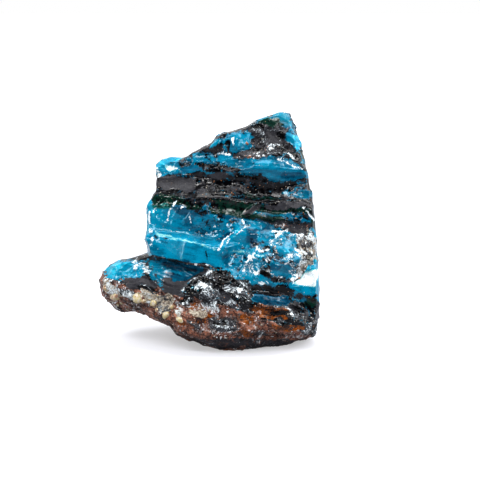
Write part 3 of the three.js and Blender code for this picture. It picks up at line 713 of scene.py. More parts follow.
# Veins, seams and streaks, painted last: the look, the half-width and the points x, h that each runs
# through.
STREAKS = [
    ("milk", 0.3, (-18.8, 4.4), (-17.2, 3.4), (-13.7, 2.5)),
    ("milk", 0.28, (-13.7, 2.5), (-9.3, 1.9), (-4.9, 0.8)),
    ("milk", 0.26, (-4.9, 0.8), (-1.2, 0), (3.9, -0.7)),
    ("milk", 0.3, (3.9, -0.7), (7, -1)),
    # The seam under the ledge: a crack, darkened also as painted shade under the ledge's lip.
    ("soot", 0.35, (-21.4, -1.4), (-15.9, -2)),
    ("black", 0.32, (-15.9, -2), (-11, -3.3)),
    ("soot", 0.32, (-11, -3.3), (-4.9, -4.2)),
    ("black", 0.3, (-4.9, -4.2), (-2.6, -4.1)),
    ("black", 0.14, (-6.4, 0.1), (-6.3, -2.5)),
    ("soot", 0.5, (-12.5, 22.6), (-5.9, 25.9)),
    ("black", 0.5, (-5.9, 26.2), (-2.5, 27.9)),
    ("black", 0.6, (-2.5, 27.9), (4.4, 30.6)),
    # Painted light along lit edges: the slant ridge, the left edge and the top edge.
    ("sky", 0.6, (-2.8, 0.6), (0.8, 5)),
    ("sky", 0.5, (-21.2, 12), (-19, 8)),
    ("sky", 0.5, (-18.4, 21.9), (-12.6, 23)),
    # A pale band with a painted sheen at the left of the bowl.
    ("rim", 0.5, (-19.4, -4.6), (-17, -9)),
    ("rim", 0.5, (-20.6, -2.4), (-19.4, -5.2)),
    ("lighter", 0.35, (-17.4, -4.2), (-13.2, -5.2)),
    # Painted shade in the bowl under the ledge.
    ("darker_tone_and_shade", 0.22, (-17, -3.2), (-12.6, -4.2), (-8.2, -4.6)),
    ("darker_tone_and_shade", 0.2, (-16.4, -5), (-12.2, -5.9)),
    ("deep blue", 0.4, (-14.3, -6.7), (-11.4, -6.1)),
    ("deep blue", 0.35, (-11.4, -6.1), (-7.6, -4.5)),
    ("sheened_glass", 0.35, (-13.6, -7.4), (-11.4, -7.2), (-8.8, -5.7)),
    ("sheened_glass", 0.3, (-8.8, -5.7), (-6.4, -4.7)),
    ("rim", 0.15, (-11, -7.3), (-12.2, -9.6)),
    # From here on the white and glints streaks are painted highlights along ridges and edges.
    ("glint_white", 0.3, (-3, 23.4), (-0.6, 23.2)),
    ("glint_white", 0.24, (-13.6, 11.9), (-15.4, 9.3), (-15.8, 6.6)),
    ("glint_white", 0.2, (-12.8, 10.4), (-13.4, 9)),
    ("glint_white", 0.3, (-18.6, 10.8), (-19.1, 9.2)),
    ("glints", 0.5, (-20.3, 5), (-20.6, 0)),
    ("glint_white", 0.26, (-19.5, 3.2), (-20.2, 0.2)),
    ("glint_white", 0.3, (-20.3, 9.4), (-20.2, 6.6)),
    ("glint_white", 0.2, (-10.5, 8), (-10.4, 6.6)),
    ("glints", 0.35, (-7.2, 10.3), (-7, 9.4)),
    ("glints", 0.35, (-5.2, 7.6), (-4.9, 5.4)),
    ("glint_white", 0.22, (2.5, 7.2), (2.8, 6)),
    ("glints", 0.34, (-3, 0.6), (-2, 2.7)),
    ("glint_white", 0.2, (-2.8, 1), (-2, 2.7)),
    ("glint_white", 0.16, (-2, 2.7), (-0.4, 4.4)),
    ("glints", 0.3, (-1.8, 0), (-0.9, 2.6)),
    ("glint_white", 0.16, (-0.9, 2.6), (0.1, 3.5)),
    ("glints", 0.3, (0.1, 3.5), (2, 4.8)),
    ("glints", 0.35, (1.2, 5.1), (4, 5.6)),
    ("glint_white", 0.2, (-10.7, -7.5), (-6.8, -5.7)),
    ("glint_white", 0.16, (-6.8, -5.7), (-4.6, -4.6)),
    ("glints", 0.5, (-10.8, -7.7), (-12.4, -9.6)),
    ("glint_white", 0.22, (7.9, 26), (8.8, 25.2)),
    ("glint_white", 0.3, (8.8, 25.2), (12.7, 24.3)),
    ("glint_white", 0.34, (8, 23.2), (11.2, 23.1)),
    ("glint_white", 0.24, (11.6, 23.6), (13, 23.3), (14.3, 22.2)),
    ("glints", 0.5, (10.2, 21.6), (12.8, 20.9)),
    ("glint_white", 0.2, (10.6, 21.5), (12.7, 20.9)),
    ("glint_white", 0.24, (12.7, 20.9), (16.2, 19.7)),
    ("glints", 0.9, (4.6, 30.2), (8.2, 26.4), (12.4, 24.2)),
    ("glint_white", 0.24, (0, 27), (0.3, 25.4)),
    ("glint_white", 0.35, (16.4, 10), (18.9, 7.4)),
    ("black", 0.4, (6.4, -5), (9.6, -6.6)),
    ("black", 0.45, (9.6, -6.6), (12.8, -7.6)),
    ("glints", 0.5, (8.6, 2.2), (10.5, 3.4), (12.7, 3.2)),
    ("glint_white", 0.2, (9.2, 2.7), (10.7, 3.5)),
    ("glint_white", 0.4, (9.6, 4.3), (12.3, 4.8)),
    ("glint_white", 0.4, (13.2, 3.7), (16.7, 4.2)),
    ("glint_white", 0.3, (5.5, 1.2), (3.2, -2)),
    ("glint_white", 0.45, (12.8, -0.9), (15.3, -0.8)),
    ("glint_white", 0.7, (15.3, -0.8), (16.3, -2.9), (15.3, -5.3)),
    ("glint_white", 0.6, (15.3, -5.3), (13.4, -6.7)),
    ("mottled", 0.2, (-30.8, -3.9), (-28.2, -2.4)),
    ("black", 0.35, (-28.2, -2.4), (-25.6, -1.5)),
    ("black", 0.4, (-25.6, -1.5), (-22.8, -2.8)),
    ("black", 0.3, (-22.8, -2.8), (-21.4, -1.6)),
    ("glints", 0.8, (-24.4, -2.4), (-24, -4)),
    ("glint_white", 0.45, (-24.5, -2.7), (-24.2, -3.5)),
    ("glint_white", 0.5, (-22.3, -3.3), (-21, -4.6)),
    ("glints", 0.8, (-22.6, -3.2), (-20, -5.4)),
]
# What covers the sides and the back where noise is high: the look, the noise's size in mm and its channel,
# the noise at which the look begins and where it is whole, and the w between which it fades in.
WEATHERING = [
    ("darker_tone_and_shade", 7.0, 150, 0.0, 0.4, 0.5, -4.0),
    # A painted grey sheen with painted glints.
    ("worn", 5.0, 160, 0.1, 0.4, 0.5, -4.0),
    ("crust", 11.0, 130, -0.12, 0.3, -3.0, -7.0),
    ("speckled", 6.0, 170, 0.3, 0.7, -3.0, -7.0),
]
WEATHER_STRETCH = (1.4, 0.8, 1)  # along x, the bed and w
# Patches of the back, as on the face; the glints there are painted highlights.
BACK_PATCHES = [
    ("rust", 6, -16, 5, 2.4, 8),
    ("quartz", -27, -9, 5, 1.6, 20),
    ("teal", -2, 22, 9, 1.6, 6),
    ("mottled", 2, -4, 9, 1.4, 10),
    ("sheened_glass", -6, 12, 8, 1.2, -8),
    ("glints", 6, 6, 7, 1, -12),
]
# How far beds and patches stray along x and h, in mm, and the size in mm and the channel of the noise.
WANDER_X, WANDER_H = (0.7, 4.0, 20), (0.5, 3.0, 30)
# The noise that frays rims: its stretch along x, the bed and w, its size in mm and its channel.
RAGGED_STRETCH, RAGGED_SIZE, RAGGED_CHANNEL = (1, 0.6, 1), 1.8, 40
# How far it moves a patch's rim, in half-widths squared, a facet's, in mm, and a streak's, in half-widths.
PATCH_RAGGEDNESS, FACET_RAGGEDNESS, STREAK_RAGGEDNESS = 0.5, 0.2, 0.4
# How each fades in: a patch and a facet from the rim to so far in, a streak between two half-widths.
PATCH_FADE, FACET_FADE, STREAK_FADE = 0.35, 0.3, (1.4, 0.7)
FRONT_FADE = (-4, 0.5)  # the w between which what is on the face begins

# Fine ridges (positive) and cracks or seams (negative) on the face: the two ends x, h, the half-width and
# the height in mm.
LINES = [
    (-15.9, 11.8, -17.2, 8.6, 0.7, 0.5),
    (-17.2, 8.6, -16.8, 6.2, 0.7, 0.45),
    (-12.8, 10.6, -14.4, 7.4, 0.6, 0.5),
    (-14.4, 7.4, -14.8, 5.4, 0.6, 0.4),
    (-19.6, 11.2, -19.2, 8.2, 0.8, 0.4),
    (-12, 6.8, -9.6, 9.4, 0.6, 0.35),
    (-4.6, 8.4, -3.4, 5.4, 0.6, 0.4),
    (1.6, 7.4, 0.6, 5.2, 0.5, 0.35),
    (-3, 4.4, 1.4, 7, 0.9, 0.4),
    (-10.8, -7.5, -7.6, -6.2, 0.7, 0.8),
    (-7.6, -6.2, -4.6, -5.4, 0.6, 0.6),
    (-21, -5.2, -15, -3.4, 0.5, 0.3),
    (-15, -3.4, -9, -6.2, 0.5, 0.35),
    (8.4, 20.6, 12.6, 21.2, 0.6, 0.4),
    (12.6, 21.2, 16.8, 19.6, 0.6, 0.4),
    (8.8, 25.6, 12.2, 24.6, 0.9, 0.9),
    (8.6, 22.8, 14.4, 22.4, 0.9, 0.8),
    (5.4, 27.6, 8.2, 30, 0.8, 0.6),
    (1, 28.4, 0.4, 24.6, 0.6, 0.5),
    (3.8, 28.2, 3.2, 25, 0.6, 0.4),
    (-18.6, 21.6, -15.4, 18.8, 0.5, 0.4),
    (-15.4, 18.8, -13.6, 21.4, 0.5, 0.4),
    (5.8, 12.2, 19, 10.8, 0.8, 0.5),
    (6.4, 11.6, 2.4, 8.6, 0.8, 0.5),
    (-21.4, -1.6, -14.8, -2.6, 0.4, -0.7),
    (-14.8, -2.6, -9, -3.8, 0.4, -0.8),
    (-9, -3.8, -4.4, -4.2, 0.4, -0.6),
    (9.4, 3.6, 15.4, 3.4, 0.9, 0.6),
    (12.8, -3.8, 16.8, -0.6, 0.8, 0.6),
    (12.2, -7.4, 19.6, -3.8, 0.7, 0.6),
    (4.2, -10.6, 13, -11, 0.7, 0.5),
    (-29.4, -4.2, -25, -2.6, 0.6, 0.4),
    (-25, -5.4, -22.4, -3.8, 0.6, 0.5),
]
# How far the lines stray, in mm, the size of that noise, its channels along x and h and its layers.
LINE_WANDER, LINE_WANDER_SIZE, LINE_CHANNELS, LINE_LAYERS = 0.35, 1.6, (50, 55), 2
LINE_TAPER, LINE_END = 4, 0.35  # how fast a line rises along its length, and the share it starts with


def look_row(look):
    """A look's share of each field, or for an overlay no number where it leaves the field alone."""
    if look in OVERLAYS:
        return np.array([OVERLAYS[look].get(field, math.nan) for field in FIELDS])
    return np.array([LOOKS[look].get(field, 0) for field in FIELDS], dtype=float)


def lay_over(fields, look, share):
    """Move the fields towards a look by each place's share of it."""
    row = look_row(look)
    named = ~np.isnan(row)
    fields[:, named] += share[:, None] * (row[named] - fields[:, named])


def bed_fields(bed):
    """The fields of the bed that each place lies in, blended a little from bed to bed."""
    starts = [start for start, _ in BEDS[1:]]
    at = np.ravel([(start - BED_BLEND, start + BED_BLEND) for start in starts])
    looks = [look_row(look) for _, look in BEDS]
    rows = np.array([row for pair in zip(looks[:-1], looks[1:]) for row in pair])
    return np.stack([np.interp(bed, at, rows[:, i]) for i in range(len(FIELDS))], axis=1)


def within(x, h, corners):
    """How far inside a facet a place is: the least of its distances from the sides."""
    least = np.full(len(x), np.inf)
    for (x0, h0), (x1, h1) in zip(corners, corners[1:] + corners[:1]):
        run, rise = x1 - x0, h1 - h0
        least = np.minimum(least, (run * (h - h0) - rise * (x - x0)) / math.hypot(run, rise))
    return least


def painted(place):
    """The fields of every place: those of its bed, moved towards each patch's look inside a ragged oval,
    each facet's inside its sides and each streak's along its path. What is on the face fades out around the
    edge, where the weathering and the back's own patches begin."""
    stray_x, size_x, channel_x = WANDER_X
    stray_h, size_h, channel_h = WANDER_H
    x = place[:, 0] + stray_x * rough(place, size_x, channel_x)
    h = place[:, 1] + stray_h * rough(place, size_h, channel_h)
    fields = bed_fields(bed_at(x, h))
    ragged = rough(along_beds(place) / RAGGED_STRETCH, RAGGED_SIZE, RAGGED_CHANNEL)
    front = smooth_step(place[:, 2], *FRONT_FADE)
    for look, size, channel, start, whole, near, far in WEATHERING:
        share = smooth_step(rough(along_beds(place) / WEATHER_STRETCH, size, channel), start, whole)
        lay_over(fields, look, share * smooth_step(place[:, 2], near, far))
    for patches, there in ((FRONT_PATCHES, front), (BACK_PATCHES, 1 - front)):
        for look, at_x, at_h, half_x, half_h, turn in patches:
            along, up = oval_place(x, h, (at_x, at_h), (half_x, half_h), turn)
            inside = 1 - along**2 - up**2 + PATCH_RAGGEDNESS * ragged
            lay_over(fields, look, there * smooth_step(inside, 0, PATCH_FADE))
    for look, corners in FACETS:
        inside = within(x, h, corners) + FACET_RAGGEDNESS * ragged
        lay_over(fields, look, front * smooth_step(inside, 0, FACET_FADE))
    for look, width, *points in STREAKS:
        for start, end in zip(points, points[1:]):
            away, _ = off_line(x, h, *start, *end)
            away = away / width + STREAK_RAGGEDNESS * ragged
            lay_over(fields, look, front * smooth_step(away, *STREAK_FADE))
    return fields


def off_line(x, h, x0, h0, x1, h1):
    """How far a place is from a line between two ends, and how far along the line it is, from 0 to 1."""
    run, rise = x1 - x0, h1 - h0
    t = np.clip(((x - x0) * run + (h - h0) * rise) / (run * run + rise * rise), 0, 1)
    return np.hypot(x - x0 - t * run, h - h0 - t * rise), t


def line_relief(place):
    """The ridges and cracks: each falls from its height in a straight slope on both sides of its line."""
    relief = np.zeros(len(place))
    x, h = (place[:, axis] + LINE_WANDER * rough(place, LINE_WANDER_SIZE, LINE_CHANNELS[axis], LINE_LAYERS)
            for axis in (0, 1))
    front = smooth_step(place[:, 2], *FRONT_EDGE)
    for x0, h0, x1, h1, width, height in LINES:
        away, t = off_line(x, h, x0, h0, x1, h1)
        ends = np.clip(LINE_TAPER * np.minimum(t, 1 - t) + LINE_END, 0, 1)
        slope = height * ends * np.maximum(0, 1 - away / width) * front
        relief = np.where(np.abs(slope) > np.abs(relief), slope, relief)
    return relief


# The small relief in layers, each with its height in mm first. Shells and facets: the size of their cells
# along x, the bed and w, the lean, the unevenness and the channel. Lumps: the size, the channel and the
# number of layers.
WHOLE_SHELLS = [(1.0, (4.2, 3.0, 3.6), 1.4, 0.9, 60), (0.14, (2.0, 1.4, 1.7), 1.4, 0.8, 70)]
BED_FACETS = (0.6, (3.6, 1.7, 2.8), 1.6, 0.6, 80)
CHIP_FACETS = (0.3, (1.7, 1.4, 1.6), 1.6, 0.4, 90)
MATRIX_LUMPS = (0.45, 2.4, 100, 3)
MATRIX_FACETS = (0.3, (1.3, 1.1, 1.2), 1.2, 1.0, 110)
WHOLE_MEAN = 0.6  # the mean depth of the shells
WHOLE_LEAST, WHOLE_GAIN, WHOLE_FULL = 0.12, 0.6, 0.4  # the shells' share: least, gained, where it is full
BREAKING = (0.2, 0.9)  # how broken the opal is where the facets begin and where they are all there is
KEPT_SHELLS = 0.4  # the share of the shells that is left under the facets
SUNK = 0.1  # mm that the skin lies in from the solid, which keeps its peaks within it


def layer(pattern, place, row):
    """One layer of relief: its height times the pattern's."""
    height, *rest = row
    return height * pattern(place, *rest)


def fine_relief(place, fields, clean):
    """The small relief: shallow shells on whole opal, fainter on the clean breaks, flat steps along the
    beds where it is broken, and lumps on the matrix."""
    layered = along_beds(place)
    matrix, broken = fields[:, FIELDS.index("matrix")], fields[:, FIELDS.index("broken")]
    whole = sum(layer(shells, layered, row) for row in WHOLE_SHELLS)
    chipped = layer(facets, layered, BED_FACETS) + layer(facets, place, CHIP_FACETS)
    lumpy = layer(rough, place, MATRIX_LUMPS) + layer(facets, place, MATRIX_FACETS)
    smooth = (whole - WHOLE_MEAN) * (WHOLE_LEAST + WHOLE_GAIN * smooth_step(broken, 0, WHOLE_FULL))
    relief = smooth + smooth_step(broken, *BREAKING) * (chipped - (1 - KEPT_SHELLS) * smooth)
    relief += matrix * (lumpy - relief)
    return (relief - np.mean(relief)) * (1 - CLEANNESS * clean) - SUNK + line_relief(place)


# The larger lumps of quartz on the face: x, h and the radius in mm.
LUMPS = np.array([
    [-28.4, -11.2, 1.4], [-23.2, -11, 1.3], [-30.9, -9.2, 0.9], [-18.9, -12.7, 0.85], [-18.3, -14.1, 0.75],
    [-12.6, -16.1, 0.9], [-15.9, -15.2, 0.9], [-27.2, -12.6, 0.6], [-21.6, -12.2, 0.6], [-14.6, -13.2, 0.7],
])
# A lump's points around and up, its planes, how sharp its edges are, how far the nearest plane lies from
# its middle and how far it reaches where no plane stops it, in radii.
LUMP_AROUND, LUMP_UP, LUMP_PLANES, LUMP_POWER = 14, 9, 12, 7
LUMP_NEAREST, LUMP_FARTHEST = 0.7, 1.3
LUMP_SUNK = 0.4  # how deep lumps and grains sit in the skin, in radii
GRAIN_SEED = 11
GRAIN_STRAY = 0.0002  # the chance of a grain where there is no quartz, next to 1 where it is rich
GRAIN_SPREAD, GRAIN_LARGEST = 0.35, 1.8  # the spread of the grains' sizes and the largest, in mean sizes
# From -1 at the back to 1 at the front: where the sides begin to take painted light, which stands in for
# light through the thin edges, and where they take it in full.
EDGE_GLOW = (0.1, 0.6)

# ---------------------------------------------------------------- meshes


def make_mesh(name, points, quads, attributes, smooth=True):
    """A mesh object at the origin, from points in millimetres and a number at each per attribute."""
    mesh = bpy.data.meshes.new(name)
    mesh.vertices.add(len(points))
    mesh.vertices.foreach_set("co", np.ravel(points * MM).astype(np.float32))
    mesh.loops.add(quads.size)
    mesh.loops.foreach_set("vertex_index", np.ravel(quads).astype(np.int32))
    mesh.polygons.add(len(quads))
    mesh.polygons.foreach_set("loop_start", np.arange(0, quads.size, quads.shape[1], dtype=np.int32))
    mesh.update(calc_edges=True)
    mesh.polygons.foreach_set("use_smooth", np.full(len(quads), smooth))
    for key, values in attributes.items():
        numbers = mesh.attributes.new(key, "FLOAT", "POINT")
        numbers.data.foreach_set("value", np.ascontiguousarray(values, dtype=np.float32))
    if mesh.validate():
        raise RuntimeError(f"{name} has faulty faces")
    mesh.update()
    made = bpy.data.objects.new(name, mesh)
    bpy.context.scene.collection.objects.link(made)
    return made


def stone_skin(settings):
    """The base skin in the face's frame, the skin that stands on it along its normals, the quads, the
    fields, how much painted light each point takes as part of a thin edge of the front, and the small
    relief."""
    box, quads = box_grid(settings.across, settings.deep)
    base, clean = form(box, settings.edge_softness / MM, settings.bed_edge / MM)
    normals = normals_of(base, quads)
    fields = painted(base)
    relief = fine_relief(base, fields, clean) * settings.relief
    skin = base + normals * relief[:, None]
    edge = smooth_step(box[:, 2], *EDGE_GLOW) * (np.abs(box[:, 2]) < 1)
    return base, skin, quads, fields, edge, relief


def placed(points, base, settings):
    """Points in the stone's own frame: stood up, the base skin's box over the origin, none below ground."""
    lean, foot_depth = settings.lean, settings.foot_depth / MM
    stood = stand_up(base, lean, foot_depth)
    middle = (stood.min(axis=0) + stood.max(axis=0)) / 2
    out = stand_up(points, lean, foot_depth) - (middle[0], middle[1], 0)
    out[:, 2] = np.maximum(out[:, 2], 0)
    return out


def lumps(centres, sizes, rng):
    """Rounded many-sided lumps, each a function of longitude and latitude: along every direction a lump
    reaches to where the powers of its shares of the way to a dozen planes add to 1."""
    lon = np.linspace(0, 2 * math.pi, LUMP_AROUND, endpoint=False)
    lat = np.linspace(0, math.pi, LUMP_UP + 1)
    lon, lat = np.meshgrid(lon, lat)
    way = np.stack([np.sin(lat) * np.cos(lon), np.sin(lat) * np.sin(lon), np.cos(lat)], axis=-1)
    way = way.reshape(-1, 3)
    normals = rng.normal(size=(len(centres), LUMP_PLANES, 3))
    normals /= np.linalg.norm(normals, axis=2)[:, :, None]
    distance = rng.uniform(LUMP_NEAREST, 1, size=(len(centres), LUMP_PLANES))
    share = np.maximum(np.einsum("gfk,pk->gpf", normals, way), 0) / distance[:, None, :]
    total = np.maximum(np.sum(share**LUMP_POWER, axis=2), LUMP_FARTHEST**-LUMP_POWER)
    reach = total ** (-1 / LUMP_POWER)
    points = centres[:, None, :] + reach[:, :, None] * (way[None] * sizes[:, None, None])
    column = np.arange(LUMP_AROUND)[None, :]
    row = np.arange(LUMP_UP)[:, None] * LUMP_AROUND
    here, after = row + column, row + (column + 1) % LUMP_AROUND
    quads = np.stack([here, here + LUMP_AROUND, after + LUMP_AROUND, after], axis=-1).reshape(-1, 4)
    quads = (quads[None] + len(way) * np.arange(len(centres))[:, None, None]).reshape(-1, 4)
    return points.reshape(-1, 3), quads


# ---------------------------------------------------------------- shader sums


class Sum:
    """A shader socket to reckon with: numbers go through Math nodes and vectors through Vector Math."""

    def __init__(self, shader, socket, vector=False):
        self.shader, self.socket, self.vector = shader, socket, vector

    def _join(self, other, operation, swap=False):
        """One node for two values, a vector if either is, with the other first if they are swapped."""
        vector = self.vector or getattr(other, "vector", isinstance(other, tuple))
        kind = "ShaderNodeVectorMath" if vector else "ShaderNodeMath"
        pair = (other, self) if swap else (self, other)
        node = self.shader.node(kind, {"operation": operation}, {0: pair[0], 1: pair[1]})
        return Sum(self.shader, node.outputs[0], vector)

    def __add__(self, other):
        return self._join(other, "ADD")

    def __radd__(self, other):
        return self._join(other, "ADD", swap=True)

    def __sub__(self, other):
        return self._join(other, "SUBTRACT")

    def __rsub__(self, other):
        return self._join(other, "SUBTRACT", swap=True)

    def __mul__(self, other):
        return self._join(other, "MULTIPLY")

    def __rmul__(self, other):
        return self._join(other, "MULTIPLY", swap=True)

    def clamp(self):
        """Kept from 0 to 1."""
        return Sum(self.shader, self.shader.node("ShaderNodeClamp", None, {"Value": self}).outputs[0])

    def step(self, low, high):
        """Eased from 0 at low to 1 at high."""
        settings = {"interpolation_type": "SMOOTHSTEP"}
        sockets = {"Value": self, "From Min": low, "From Max": high}
        return Sum(self.shader, self.shader.node("ShaderNodeMapRange", settings, sockets).outputs[0])


class Shader:
    """The nodes of a material or a world: one method makes any node, and the others name the ones that are
    used often."""

    def __init__(self, name, kind="materials"):
        self.holder = getattr(bpy.data, kind).new(name)
        self.holder.use_nodes = True
        self.tree = self.holder.node_tree
        self.tree.nodes.clear()

    def node(self, kind, settings=None, sockets=None):
        """Any node, from its type, its settings, and the values or links of its sockets."""
        made = self.tree.nodes.new(kind)
        for key, value in (settings or {}).items():
            setattr(made, key, value)
        for key, value in (sockets or {}).items():
            if isinstance(value, Sum):
                self.tree.links.new(value.socket, made.inputs[key])
            elif isinstance(value, tuple) and len(value) == 3 and len(made.inputs[key].default_value) == 4:
                made.inputs[key].default_value = (*value, 1)
            elif isinstance(value, (int, float)) and made.inputs[key].type == "VECTOR":
                made.inputs[key].default_value = (value, value, value)
            else:
                made.inputs[key].default_value = value
        return made

    def attribute(self, name):
        """The number that the mesh has at each point under this name."""
        return Sum(self, self.node("ShaderNodeAttribute", {"attribute_name": name}).outputs["Fac"])

    def coordinates(self, kind):
        """Texture coordinates of a kind."""
        return Sum(self, self.node("ShaderNodeTexCoord").outputs[kind], vector=True)

    def object_place(self):
        """The place on the object, in millimetres."""
        return self.coordinates("Object") * (1 / MM)

    def rays(self, *kinds):
        """For each kind of ray, 1 where one meets the surface and 0 elsewhere."""
        paths = self.node("ShaderNodeLightPath")
        return tuple(Sum(self, paths.outputs[f"Is {kind} Ray"]) for kind in kinds)

    def parts(self, vector):
        """The three numbers of a vector."""
        apart = self.node("ShaderNodeSeparateXYZ", None, {"Vector": vector})
        return tuple(Sum(self, output) for output in apart.outputs)

    def vector(self, x, y, z):
        """A vector of three numbers."""
        joined = self.node("ShaderNodeCombineXYZ", None, {"X": x, "Y": y, "Z": z})
        return Sum(self, joined.outputs[0], vector=True)

    def turned(self, place, angle):
        """The place turned about the Y axis."""
        settings = {"rotation_type": "Y_AXIS"}
        node = self.node("ShaderNodeVectorRotate", settings, {"Vector": place, "Angle": angle})
        return Sum(self, node.outputs[0], vector=True)

    def noise(self, place, size, detail, roughness, output="Fac"):
        """Noise from 0 to 1 with features of the given size in millimetres."""
        sockets = {"Vector": place, "Scale": 1 / size, "Detail": detail, "Roughness": roughness}
        node = self.node("ShaderNodeTexNoise", None, sockets)
        return Sum(self, node.outputs[output], vector=output == "Color")

    def cells(self, place, size, output="Distance"):
        """Cells around scattered points: the distance to the nearest point, or a colour for each cell."""
        node = self.node("ShaderNodeTexVoronoi", None, {"Vector": place, "Scale": 1 / size})
        return Sum(self, node.outputs[output], vector=output != "Distance")

    def mix(self, share, start, end):
        """A colour between two others, which may be plain colours."""
        start, end = (colour if isinstance(colour, Sum) else tuple(colour) for colour in (start, end))
        sockets = {0: share, 6: start, 7: end}
        node = self.node("ShaderNodeMix", {"data_type": "RGBA", "clamp_factor": True}, sockets)
        return Sum(self, node.outputs[2], vector=True)

    def bump(self, height, distance, strength, normal=None):
        """The normal of relief: the distance is in metres from the lowest to the highest."""
        sockets = {"Height": height, "Distance": distance, "Strength": strength}
        if normal:
            sockets["Normal"] = normal
        return Sum(self, self.node("ShaderNodeBump", None, sockets).outputs[0], vector=True)

    def leaned(self, normal, tilt):
        """A normal leaned over by a vector."""
        node = self.node("ShaderNodeVectorMath", {"operation": "NORMALIZE"}, {0: normal + tilt})
        return Sum(self, node.outputs[0], vector=True)

    def finish(self, **sockets):
        """The surface: one Principled shader. Names have _ for a space."""
        named = {key.replace("_", " "): value for key, value in sockets.items()}
        surface = self.node("ShaderNodeBsdfPrincipled", None, named)
        output = self.node("ShaderNodeOutputMaterial")
        self.tree.links.new(surface.outputs[0], output.inputs["Surface"])
        return self.holder


# In the functions of the stone's material s is its shader, f holds the fields, and n holds the place, the
# place with the bed for its depth, and the noises, which run from -0.5 to 0.5.

OPAL_IOR, QUARTZ_IOR = 1.37, 1.52
HOLLOW_DEPTH, FINE_DEPTH, GRAIN_DEPTH = 0.9 * MM, 0.12 * MM, 0.08 * MM  # what the bumps stand for


def opal_colour(s, f, n, colours):
    """Blue, from navy to sky with the light, which is the tone with painted light added: lighter on the
    thin edges and on ridges, darker in hollows. Green in the green beds, black where it isn't blue, lifted
    to a painted grey sheen where it is dull, and milk where it is pale, painted white highlight where it is
    palest. Returns the colour, where it is blue and where it is dull, with the painted sheen."""
    light = f.tone + n.streaks * 0.55 + n.cloud * 0.6 + n.fray * 0.3 + n.fine * 0.3
    # Painted light: the thin edges are lighter, and so are ridges, while hollows are darker.
    light = light + f.edge * 0.1 + f.ridge * 0.08
    colour = s.mix(light.step(0.0, 0.3), colours.navy, colours.deep_blue)
    colour = s.mix(light.step(0.25, 0.6), colour, colours.blue)
    colour = s.mix(light.step(0.62, 1.05), colour, colours.sky)
    greenish = (f.green + n.fray * 0.6 + n.cloud * 0.5).step(0.3, 0.9)
    colour = s.mix(greenish, colour, s.mix(light.step(0.2, 0.7), colours.dark_green, colours.teal))

    # Painted sheen: where it is dull, black is lifted towards grey, which stands in for a reflection of the
    # bright overhead light; it is rougher there too.
    dull_sheen = f.satin_sheen + n.cloud * 0.8 + n.chunks * 1.6 + n.streaks * 0.2 + n.flake * f.broken
    dull_sheen = dull_sheen.step(0.3, 0.75)
    shade = dull_sheen * (0.75 + n.streaks * 0.5 + n.chunks * 0.8 + n.fray * 1.2 + n.fine * 1.2).clamp()
    dark = s.mix(shade, colours.black, colours.sheen_grey)
    specks = s.noise(n.place, 0.55, 3, 0.7).step(0.63, 0.69)
    specks = specks * s.noise(n.place, 4, 2, 0.5).step(0.42, 0.62) * 0.9
    is_blue = (f.blue + n.fray * 1.7 + n.cloud * 0.4 + n.streaks * 0.5).step(0.4, 0.5) * (1 - specks)
    colour = s.mix(is_blue, dark, colour)

    # Where pale passes 0.9 it turns to a painted white highlight: the lit white facets.
    milk = (f.pale + n.fray * 1.6 + n.cloud * 0.4).step(0.5, 0.85)
    colour = s.mix(milk, colour, s.mix(f.pale.step(0.9, 1.1), colours.milk, colours.glint_white))
    return colour, is_blue, dull_sheen


def matrix_colour(s, f, n, colours):
    """Pitted brown rock, rust and quartz. Returns the colour and where it covers the opal."""
    pitted = (n.fray + n.fine * 0.9 + n.cloud * 0.9 + 0.5).step(0.32, 0.72)
    brown = s.mix(pitted, colours.dark_matrix, colours.matrix)
    rusty = s.mix(pitted, colours.dark_matrix, colours.rust)
    brown = s.mix((f.rust + n.cloud * 0.6 + n.fray * 1.1).step(0.35, 0.7), brown, rusty)
    tan = s.mix(n.fine.step(-0.15, 0.15), colours.tan, colours.quartz)
    grain = s.cells(n.place, 0.7)
    brown = s.mix((f.quartz + n.fray * 1.2 + (grain - 0.4) * 0.3).step(0.4, 0.6), brown, tan)
    return brown, (f.matrix + n.fray * 0.9 + n.cloud * 0.3).step(0.42, 0.52)


def glinted_colour(s, f, n, colours, colour, is_matrix):
    """Painted glints: grooves that run their own way in each cell of bent space, painted pale grey and
    white where they are highest, and fainter on the matrix, which has small angular painted glints besides.
    Round specks of quartz and amber lie on broken opal."""
    turned = s.turned(n.layered, n.lean * math.pi)
    grooves = s.noise(turned * (0.45, 1.0, 1.8), 0.55, 4, 0.65) - 0.5
    whiteness = n.flake * 0.65 + grooves * 2.0 + n.fray * 0.5 + n.fine * 0.9 + f.fleck * 0.72 + 0.245
    colour = s.mix(whiteness.step(0.75, 1.1) * 0.7 * f.fleck.clamp(), colour, colours.glint_grey)
    glint_share = whiteness.step(1.06, 1.14) * (f.fleck * 6).clamp() * (1 - is_matrix * 0.4)
    colour = s.mix(glint_share, colour, colours.glint_white)

    # Painted glints on the matrix: small angular cells painted white.
    bent = n.place + s.noise(n.place, 0.6, 2, 0.5, "Color") * 0.5
    spark, strength, _ = s.parts(s.cells(bent, 0.5, "Color"))
    rich = s.noise(n.place, 2.6, 3, 0.6).step(0.44, 0.62) * 0.5 + f.fleck * 0.16
    sparks = (spark * 0.5 + rich + n.fray * 0.3).step(0.9, 0.94)
    sparks = sparks * f.matrix.step(0.2, 0.4) * (f.fleck * 3).clamp()
    colour = s.mix(sparks * (strength * 0.8 + 0.2), colour, colours.glint_white)

    dots = (1 - s.cells(n.place, 0.85).step(0.12, 0.19)) * s.noise(n.place, 1.6, 2, 0.6).step(0.42, 0.56)
    dots = dots * (1 - is_matrix) * (f.broken * 5).clamp() * 0.85
    return s.mix(dots, colour, s.mix(n.lean.step(0.64, 0.72), colours.quartz, colours.amber))


